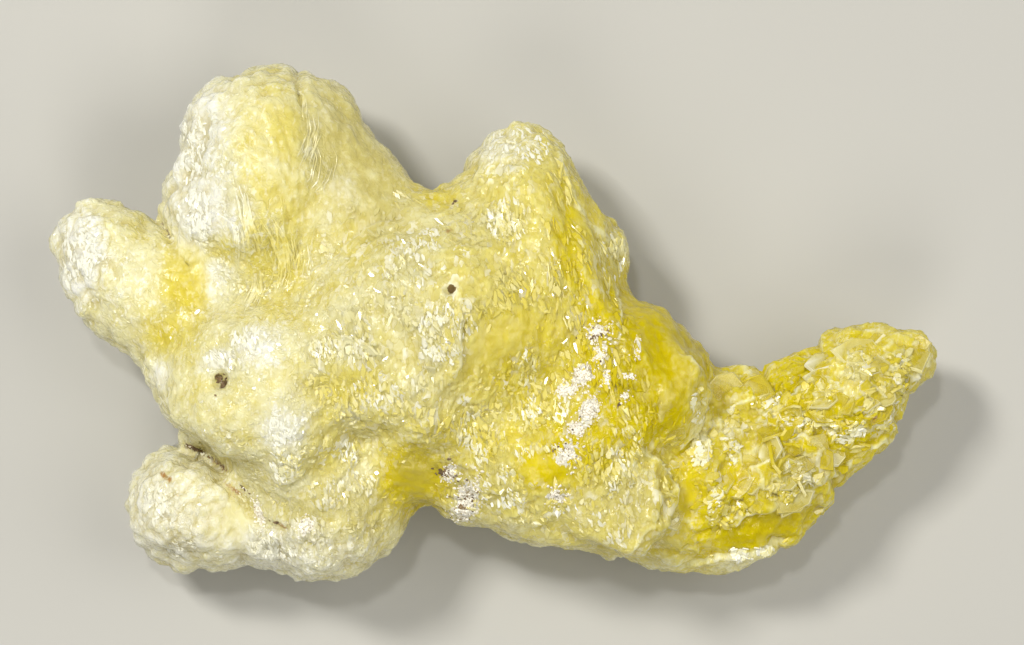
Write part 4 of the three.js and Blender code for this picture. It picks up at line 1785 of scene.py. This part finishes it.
def start_material(name: str) -> tuple[Material, Sheet, Node]:
    """Starts a material with one Principled shader.

    Args:
        name: The material's name.

    Returns:
        The material, a sheet to write it with, and its shader.
    """
    material = bpy.data.materials.new(name)
    material.use_nodes = True
    material.node_tree.nodes.clear()
    sheet = Sheet(material.node_tree)
    shader = sheet.node("ShaderNodeBsdfPrincipled")
    sheet.feed(sheet.node("ShaderNodeOutputMaterial").inputs["Surface"], shader.outputs["BSDF"])
    return material, sheet, shader


@dataclass(frozen=True)
class SkinFinish:
    """Translucent skin: light scatters deep inside, and its scales glint.

    Attributes:
        scatter: How deep light goes.
        mottling: How uneven its colour is.
        glint: The width of the smallest glinting faces.
        bent: How far their pattern is bent.
        scaly_lean, platy_lean: How far the faces lean, on scaly and on platy skin.
        whiten: How much whiter than the skin the whitest scales are: partly pale scales, partly painted
            glints.
        line: How strongly the scales are outlined with painted shade.
        scale: The colour of the whitest scales.
        outline: The colour of the painted shade along their outlines.
        wrinkle: The width of the wrinkles on the lobes.
        crease: How strongly painted shade darkens the folds between the wrinkles.
        sugar: How white the specks on the lobes are.
        vein: How pale the veins of the tail are.
        fold, pale_fold: The colours of the painted shade in the folds between the wrinkles, on clear and on
            whitened skin.
    """

    scatter: float = 1.8
    mottling: float = 0.4
    glint: float = 0.4
    bent: float = 1.4
    scaly_lean: float = 0.55
    platy_lean: float = 0.4
    whiten: float = 0.85
    line: float = 0.5
    scale: str = "fcf9e0"
    outline: str = "bcab3c"
    wrinkle: float = 0.75
    crease: float = 0.32
    sugar: float = 0.45
    vein: float = 0.5
    fold: str = "c8b768"
    pale_fold: str = "dbd6b2"

    def material(self, colours: NodeTree, glints: NodeTree) -> Material:
        """Makes the material.

        Args:
            colours: The group of colours.
            glints: The group of cleavage glints.

        Returns:
            A node-based material.
        """
        material, sheet, shader = start_material("translucent brucite")
        tint = sheet.node("ShaderNodeGroup", node_tree=colours)
        tint.inputs["Mottling"].default_value = self.mottling
        fine, dull = tint.outputs["Fine"], tint.outputs["Dull"]
        scaly, platy, wrinkled = (sheet.trait(trait) for trait in (Trait.SCALY, Trait.PLATY, Trait.KNOBBY))

        faces = sheet.node("ShaderNodeGroup", node_tree=glints)
        sheet.fill(faces, {
            "Places": sheet.places((self.glint, self.glint * 2.2, self.glint), -14.0),
            "Lean": sheet.plus(sheet.times(scaly, self.scaly_lean), sheet.times(platy, self.platy_lean)),
            "Bent": self.bent,
        })
        clean = sheet.times(sheet.most(scaly, sheet.times(platy, 0.7)), sheet.less(1.0, dull))
        broken = sheet.grade(fine, 0.44, 0.6)
        thicket = sheet.grade(tint.outputs["Cloud"], 0.42, 0.62)
        # The whitest scales: partly pale scales, partly painted glints.
        white = sheet.times(sheet.grade(faces.outputs["Chance"], 0.45, 0.95), thicket, clean, self.whiten)
        colour = sheet.blend(white, tint.outputs["Color"], self.scale)
        # Painted shade along the scales' outlines.
        line = sheet.times(faces.outputs["Edge"], clean, self.line, broken)
        colour = sheet.blend(line, colour, self.outline)

        worms = sheet.noise(sheet.places(self.wrinkle), 1.0, 1.2).outputs["Fac"]
        off_fold = sheet.compute("ABSOLUTE", sheet.less(worms, 0.5))
        # Painted shade in the folds between the wrinkles.
        folds = sheet.times(sheet.grade(off_fold, 0.0, 0.035, 1.0, 0.0), wrinkled, broken, self.crease)
        colour = sheet.blend(folds, colour, sheet.blend(sheet.trait(Trait.FROST_AND_HIGHLIGHT), self.fold, self.pale_fold))
        specks = sheet.times(sheet.grade(fine, 0.55, 0.66), sheet.times(wrinkled, self.sugar))
        colour = sheet.blend(specks, colour, self.scale)
        veins = sheet.times(sheet.grade(off_fold, 0.0, 0.03, 1.0, 0.0), platy, broken, self.vein)
        colour = sheet.blend(veins, colour, self.scale)

        backs = sheet.times(sheet.grade(off_fold, 0.0, 0.14), wrinkled, 0.7)
        bump = sheet.bump(sheet.plus(sheet.times(fine, 0.9), backs), 0.7, 0.1)
        sheet.feed(bump.inputs["Normal"], faces.outputs["Normal"])
        roughness = sheet.grade(fine, 0.3, 0.7, 0.12, 0.27)
        sheet.fill(shader, {
            "Base Color": colour, "Roughness": sheet.plus(roughness, sheet.times(dull, 0.4)),
            "Normal": bump.outputs["Normal"], "IOR": BRUCITE_IOR, "Specular IOR Level": 0.22,
            "Subsurface Weight": 0.72, "Subsurface Radius": (1.0, 1.0, 0.85),
            "Subsurface Scale": self.scatter * MM, "Coat Weight": 0.12, "Coat Roughness": 0.08,
        })
        return material


@dataclass(frozen=True)
class CrystalFinish:
    """Glassy small crystals with flat, glinting faces.

    Attributes:
        roughness: The least and greatest roughness.
        shade: How much darker than the skin the crystals are, as they scatter no light inside.
        mottling: How uneven their colour is.
    """

    roughness: tuple[float, float] = (0.16, 0.32)
    shade: float = 0.02
    mottling: float = 0.35

    def material(self, colours: NodeTree) -> Material:
        """Makes the material.

        Args:
            colours: The group of colours.

        Returns:
            A node-based material.
        """
        material, sheet, shader = start_material("brucite crystals")
        tint = sheet.node("ShaderNodeGroup", node_tree=colours)
        tint.inputs["Mottling"].default_value = self.mottling
        fine = tint.outputs["Fine"]
        sheet.fill(shader, {
            "Base Color": sheet.blend(self.shade, tint.outputs["Color"], "000000"),
            "Roughness": sheet.grade(fine, 0.3, 0.7, *self.roughness),
            "Normal": sheet.bump(fine, 0.25, 0.05).outputs["Normal"],
            "Alpha": sheet.trait(Trait.SOLID),
            "IOR": BRUCITE_IOR, "Coat Weight": 0.4, "Coat Roughness": 0.12,
        })
        return material


@dataclass(frozen=True)
class CrustFinish:
    """Chalky white crust, some of its crumbs dark brown rock.

    Attributes:
        chalk, shade: The crust and its darker specks.
        rock, stone: The rock and its darker blotches.
    """

    chalk: str = "fbf7ea"
    shade: str = "baab8c"
    rock: str = "927a58"
    stone: str = "66523c"

    def material(self) -> Material:
        """Makes the material.

        Returns:
            A node-based material.
        """
        material, sheet, shader = start_material("crust and rock")
        speckle = sheet.noise(sheet.places(0.12), 3.0).outputs["Fac"]
        blotch = sheet.noise(sheet.places(0.5), 2.0).outputs["Fac"]
        white = sheet.blend(sheet.grade(speckle, 0.5, 0.68), self.chalk, self.shade)
        brown = sheet.blend(sheet.grade(blotch, 0.4, 0.6), self.rock, self.stone)
        sheet.fill(shader, {
            "Base Color": sheet.blend(sheet.trait(Trait.ROCK), white, brown),
            "Roughness": sheet.grade(blotch, 0.3, 0.7, 0.45, 0.8),
            "Normal": sheet.bump(speckle, 0.6, 0.05).outputs["Normal"],
        })
        return material


@dataclass
class Studio:
    """The plain floor, the soft lights and the camera above the specimen.

    Attributes:
        pixel: The size of one of the photograph's pixels on the specimen.
        frame_wide: The photograph's width in pixels.
        middle: The point that the photograph's middle shows, in plan.
        plane: The height at which the outline was measured.
        distance: How far the camera is above that height.
        sensor: The width of the camera's sensor.
        floor_size: Half the length of the floor's side.
        sky: The strength of the light from all around.
    """

    pixel: float = 0.07
    frame_wide: int = 1024
    middle: tuple[float, float] = (1.34, 0.015)
    plane: float = 7.0
    distance: float = 320.0
    sensor: float = 36.0
    floor_size: float = 600.0
    sky: float = 0.1

    def build(self) -> None:
        """Makes the floor, the lights and the camera."""
        self.lay_floor()
        self.hang_light("key", (-320, 280, 560), 130, 3.4)
        self.hang_light("fill", (430, 60, 500), 520, 1.9)
        self.hang_light("front", (-60, -500, 480), 300, 1.3)
        self.hang_light("spark", (-90, 240, 860), 60, 1.4, "fffefc")
        world = bpy.data.worlds.new("studio")
        world.use_nodes = True
        background = world.node_tree.nodes["Background"]
        background.inputs["Color"].default_value = linear("f6f7f4")
        background.inputs["Strength"].default_value = self.sky
        bpy.context.scene.world = world
        bpy.context.scene.view_settings.view_transform = "Standard"
        self.set_camera()

    def lay_floor(self) -> None:
        """Lays a plain pale floor."""
        shape = bmesh.new()
        bmesh.ops.create_grid(shape, x_segments=1, y_segments=1, size=self.floor_size * MM)
        floor = as_piece("floor", shape)
        material = bpy.data.materials.new("pale floor")
        material.use_nodes = True
        shader = material.node_tree.nodes["Principled BSDF"]
        shader.inputs["Base Color"].default_value = linear("bcbbb6")
        shader.inputs["Roughness"].default_value = 0.7
        floor.data.materials.append(material)

    @staticmethod
    def hang_light(
        name: str, place: tuple[float, float, float], size: float, power: float, tint: str = "fffcf5"
    ) -> None:
        """Hangs a square soft light that faces the specimen.

        Args:
            name: The light's name.
            place: Where it hangs.
            size: The length of its side.
            power: Its power in watts.
            tint: Its display colour.
        """
        lamp = bpy.data.lights.new(name, "AREA")
        lamp.size = size * MM
        lamp.energy = power
        lamp.color = linear(tint)[:3]
        light = bpy.data.objects.new(name, lamp)
        light.location = Vector(place) * MM
        light.rotation_euler = (-light.location).to_track_quat("-Z", "Y").to_euler()
        bpy.context.scene.collection.objects.link(light)

    def set_camera(self) -> None:
        """Sets a long lens straight above, framed as the photograph is."""
        lens = bpy.data.cameras.new("camera")
        lens.sensor_width = self.sensor
        lens.lens = self.sensor * self.distance / (self.pixel * self.frame_wide)
        lens.clip_start = 0.01
        camera = bpy.data.objects.new("camera", lens)
        camera.location = Vector((*self.middle, self.plane + self.distance)) * MM
        bpy.context.scene.collection.objects.link(camera)
        bpy.context.scene.camera = camera


def attach(piece: Object, material: Material) -> None:
    """Dresses a piece and makes it ride with the specimen.

    Args:
        piece: The piece.
        material: Its only material.
    """
    piece.data.materials.clear()
    piece.data.materials.append(material)
    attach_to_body(piece, BODY)
    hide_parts(NODE)
    triangles = sum(len(face.vertices) - 2 for face in piece.data.polygons)
    size = ", ".join(f"{length / MM:.1f}" for length in piece.dimensions)
    log.info("%s: %d triangles, %s mm", piece.name, triangles, size)


# The habits of the small crystals.
SCALE = Habit((0.4, 1.4), (0.2, 0.5), (0.1, 0.18), (4, 24), Heading.GRAIN, stray=34.0, white=0.3)
FLECK = Habit((0.22, 0.6), (0.35, 0.8), (0.08, 0.14), (4, 24), Heading.ANY)
GRIT = Habit(
    (0.16, 0.45), (0.4, 0.9), (0.06, 0.1), (4, 26), Heading.ANY, uneven=0.25, sunk=0.25, vary=0.06,
)
STREAK = Habit(
    (0.6, 1.8), (0.12, 0.3), (0.08, 0.14), (4, 20), Heading.GRAIN,
    uneven=0.16, white=0.22, vary=0.1, clear=0.3,
)
# The sparks' white is partly painted glints.
SPARK = Habit(
    (0.25, 0.85), (0.22, 0.5), (0.07, 0.12), (3, 16), Heading.GRAIN,
    stray=30.0, uneven=0.25, sunk=0.15, white=1.3, vary=0.15, clear=0.1,
)
# These white flakes are partly painted glints.
TAIL_SPARK = Habit(
    (0.25, 0.9), (0.3, 0.7), (0.08, 0.14), (4, 20), Heading.ANY,
    uneven=0.25, sunk=0.1, white=1.3, vary=0.15,
)
TABLET = Habit(
    (0.9, 2.6), (0.45, 0.9), (0.14, 0.26), (4, 16), Heading.TAIL,
    stray=70.0, sides=(5, 9), uneven=0.3, taper=0.9, rim=0.06, white=0.5, vary=0.1, clear=0.72, level=0.2,
)
BLADE = Habit(
    (0.5, 1.4), (0.3, 0.7), (0.12, 0.2), (3, 22), Heading.TAIL,
    stray=70.0, sides=(5, 8), uneven=0.2, sunk=0.2, white=0.3, vary=0.15, clear=0.35,
)


def heart_crystals() -> list[Crystals]:
    """The crystals of the heart, and the white sparks in thickets all over the lobes."""
    heart = [
        Zone(-4.8, 4.0, 7.0, 4.6), Zone(-3.6, -2.6, 7.8, 5.6), Zone(1.2, 9.6, 3.4, 4.6, strength=0.8),
        Zone(5.0, 0.0, 4.6, 6.0, strength=0.5), Zone(1.6, -10.4, 6.2, 4.4), Zone(9.0, -11.6, 3.6, 4.0),
    ]
    feathers = [
        Slab(-0.3, 1.3, 1.7, 0.32, 56, 12), Slab(0.4, 0.7, 1.6, 0.34, 54, 14),
        Slab(-0.9, 0.4, 1.2, 0.3, 60, 10), Slab(0.9, 1.2, 1.2, 0.28, 58, 12),
        Slab(-0.3, -0.5, 1.1, 0.3, 62, 12), Slab(1.3, 0.2, 0.9, 0.26, 58, 10),
        Slab(-9.6, -1.3, 2.2, 0.7, 158, 8), Slab(-8.5, -1.8, 1.9, 0.6, 150, 10),
        Slab(-10.8, -1.0, 1.5, 0.5, 165, 10), Slab(-7.8, -4.8, 2.0, 0.7, 160, 8),
        Slab(-8.9, -4.4, 1.6, 0.5, 150, 10), Slab(-6.8, -5.2, 1.3, 0.5, 150, 10),
    ]
    thickets = [
        Zone(-5.5, 5.5, 1.8, 1.2), Zone(-5.8, 3.4, 1.4, 1.0), Zone(-3.0, -0.4, 1.7, 1.6),
        Zone(-3.4, -2.4, 1.6, 0.8), Zone(-10.4, -1.8, 2.0, 0.7, 15), Zone(-8.0, -4.8, 1.6, 0.8, 20),
        Zone(-1.2, -8.0, 1.2, 1.6), Zone(2.5, -3.0, 0.6, 1.1), Zone(2.7, -6.0, 0.6, 1.0),
        Zone(9.2, -11.2, 1.3, 1.9, strength=0.7), Zone(6.4, -13.2, 1.8, 0.8, strength=0.6),
        Zone(8.6, -14.6, 1.4, 0.8, strength=0.6), Zone(4.0, -9.0, 2.2, 0.6, strength=0.5),
        Zone(1.7, 12.4, 2.0, 1.6), Zone(-9.0, -10.7, 1.0, 1.0), Zone(-11.3, -11.8, 1.3, 0.9),
        Zone(4.4, -5.8, 0.7, 0.7), Zone(9.4, -8.2, 1.4, 0.9), Zone(0.6, -11.4, 1.4, 1.2),
        Zone(1.0, 7.0, 1.2, 1.4), Zone(-28.7, 4.4, 1.2, 2.2), Zone(-20.5, 7.2, 1.2, 1.6),
        Zone(-20.8, 12.2, 0.9, 2.2), Zone(-16.6, -1.2, 1.1, 0.8), Zone(-14.2, -7.2, 0.9, 0.9),
        Zone(-24.0, -12.6, 1.4, 1.4), Zone(-21.7, -15.8, 1.2, 0.7), Zone(8.4, 4.6, 1.0, 1.4),
        Zone(-17.3, -14.9, 0.8, 0.9), Zone(-12.8, -14.1, 1.0, 0.9), Zone(-14.3, -9.8, 0.8, 1.0),
        Zone(-10.0, -8.8, 0.5, 0.7), Zone(-14.8, -15.6, 1.4, 0.8), Zone(-16.9, -16.6, 0.7, 0.5),
        Zone(-18.6, -2.5, 1.0, 0.5, 15), Zone(-17.6, -3.0, 0.5, 0.6),
    ]
    return [
        Crystals("heart_scales", SCALE, heart, 2600, 11, clump=1.9, bare=0.62, slabs=feathers),
        Crystals("heart_flecks", FLECK, heart, 2600, 12, clump=1.5, bare=0.55),
        Crystals("heart_sparks", SPARK, thickets, 5000, 16, clump=1.2, bare=0.42),
    ]


def lobe_crystals() -> list[Crystals]:
    """The finer crystals of the rounded lobes and the streaks of the ridge."""
    lobes = [
        Zone(-10.8, -10.4, 5.0, 6.0), Zone(-16.0, -3.6, 6.0, 6.4, strength=0.4),
        Zone(-29.0, 4.6, 2.4, 4.0), Zone(-22.4, -13.0, 4.4, 4.6, strength=0.5),
        Zone(-20.6, 9.0, 2.6, 7.0, strength=0.6), Zone(11.2, -2.4, 4.0, 5.6, strength=0.4),
    ]
    left = [
        Zone(-20.6, 9.4, 2.8, 8.0), Zone(-27.4, 4.4, 3.6, 4.6, strength=0.7), Zone(-17.0, -4.0, 7.4, 6.4),
        Zone(-20.6, -13.0, 5.6, 5.4), Zone(-11.6, -12.6, 6.2, 6.0),
        Zone(-14.6, 4.0, 5.0, 3.4, strength=0.5),
    ]
    ridge = [
        Zone(11.0, -2.6, 3.8, 5.6), Zone(6.2, 4.6, 2.6, 6.0, 15), Zone(8.0, 3.6, 1.6, 3.0),
    ]
    return [
        Crystals("lobe_flecks", FLECK, lobes, 2400, 13, bare=0.55),
        Crystals("lobe_grit", GRIT, left, 5000, 18, clump=1.1, bare=0.5),
        Crystals("ridge_streaks", STREAK, ridge, 1200, 19, clump=1.4, bare=0.5),
    ]


def tail_crystals() -> list[Crystals]:
    """The tablets, the blades and the bright flakes of the tail."""
    slabs = [
        Slab(14.4, -8.8, 2.3, 1.3, 96, 8), Slab(15.9, -4.6, 2.8, 2.2, 20), Slab(23.1, -5.2, 2.4, 1.7, 10),
        Slab(21.3, -9.9, 2.1, 1.6, 20), Slab(20.8, -12.4, 2.8, 1.8, 25), Slab(22.8, -2.7, 2.8, 2.0, 25),
        Slab(25.4, -2.0, 3.8, 2.8, 20, 3), Slab(29.2, -2.2, 3.0, 2.6, 60, 3),
        Slab(24.8, -8.9, 2.8, 1.7, 35, 4), Slab(19.2, -7.4, 2.6, 2.0, 30, 3),
        Slab(17.2, -11.4, 2.2, 1.6, 60, 4), Slab(26.9, -6.2, 2.4, 1.7, 40, 5),
        Slab(22.6, -7.2, 2.6, 1.8, 120, 6), Slab(18.2, -4.6, 2.6, 1.8, 10, 6),
    ]
    tail = [
        Zone(18.2, -10.4, 5.6, 7.4), Zone(23.6, -7.2, 4.8, 5.6), Zone(28.2, -3.0, 3.6, 3.2),
    ]
    thickets = [
        Zone(19.6, -5.4, 1.1, 0.5, 15), Zone(22.9, -4.8, 0.9, 0.6), Zone(25.4, -3.1, 1.0, 0.8, 40),
        Zone(24.7, -2.0, 0.6, 0.8), Zone(24.5, -7.3, 1.3, 0.9), Zone(15.8, -12.9, 0.8, 1.5, -15),
        Zone(17.6, -12.8, 0.5, 0.6), Zone(14.4, -8.8, 0.6, 1.0), Zone(14.2, -5.8, 0.5, 1.2, 25),
        Zone(16.6, -7.8, 0.5, 1.8, 25), Zone(28.4, -4.2, 0.5, 1.8, -10), Zone(21.2, -10.6, 1.6, 0.7, 20),
        Zone(19.8, -11.6, 1.2, 0.8), Zone(27.6, -7.0, 0.6, 0.6), Zone(21.0, -6.4, 1.6, 1.2),
        Zone(18.2, -16.2, 2.6, 0.5, 10),
    ]
    return [
        Crystals("tail_tablets", TABLET, tail, 90, 14, bare=0.0, slabs=slabs),
        Crystals("tail_blades", BLADE, tail, 800, 15, clump=3.0, bare=0.5),
        Crystals("tail_sparks", TAIL_SPARK, thickets, 2300, 17, clump=1.2, bare=0.3),
    ]


def crown_bundles() -> list[Bundle]:
    """Where the silky fibres of the crown run."""
    return [
        Bundle(((-14.0, 16.5), (-13.1, 15.7), (-13.0, 14.5), (-12.9, 13.5)), 5, 0.12),
        Bundle(((-12.4, 14.8), (-12.2, 13.4), (-12.6, 12.0), (-13.1, 11.3)), 7, 0.3),
        Bundle(((-11.8, 13.6), (-12.4, 12.0), (-13.0, 10.4)), 4, 0.3),
        Bundle(((-17.4, 9.8), (-17.0, 8.3), (-16.7, 7.0), (-16.2, 5.5), (-15.9, 3.3)), 11, 0.35),
        Bundle(((-16.3, 7.8), (-15.3, 6.2), (-14.5, 4.5), (-14.4, 3.0)), 10, 0.35),
        Bundle(((-14.7, 8.2), (-14.9, 6.5), (-14.5, 5.0), (-14.6, 3.4), (-15.2, 1.6)), 10, 0.35),
        Bundle(((-18.5, 7.3), (-17.4, 6.6), (-17.2, 5.2), (-17.4, 3.2)), 7, 0.3),
        Bundle(((-16.4, 4.2), (-16.2, 2.4), (-17.0, 0.8)), 8, 0.4),
        Bundle(((-13.6, 6.2), (-13.4, 4.4), (-13.8, 2.6)), 5, 0.35),
        Bundle(((-12.2, 13.0), (-11.6, 11.4), (-12.0, 9.8), (-13.2, 8.4)), 5, 0.4),
    ]


def main() -> None:
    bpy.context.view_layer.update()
    colours, glints = Palette().group(), glint_group()
    growth = Growth()
    skin = growth.build(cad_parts[NODE])
    attach(skin, SkinFinish().material(colours, glints))
    ground = Ground(skin, growth)
    crystal_material = CrystalFinish().material(colours)
    for crystals in (*heart_crystals(), *lobe_crystals(), *tail_crystals()):
        attach(crystals.build(ground), crystal_material)
    attach(Fibres(crown_bundles()).build(ground), crystal_material)
    attach(Crumbs(crust_heaps()).build(ground), CrustFinish().material())
    Studio().build()


if __name__ == "__main__":
    main()
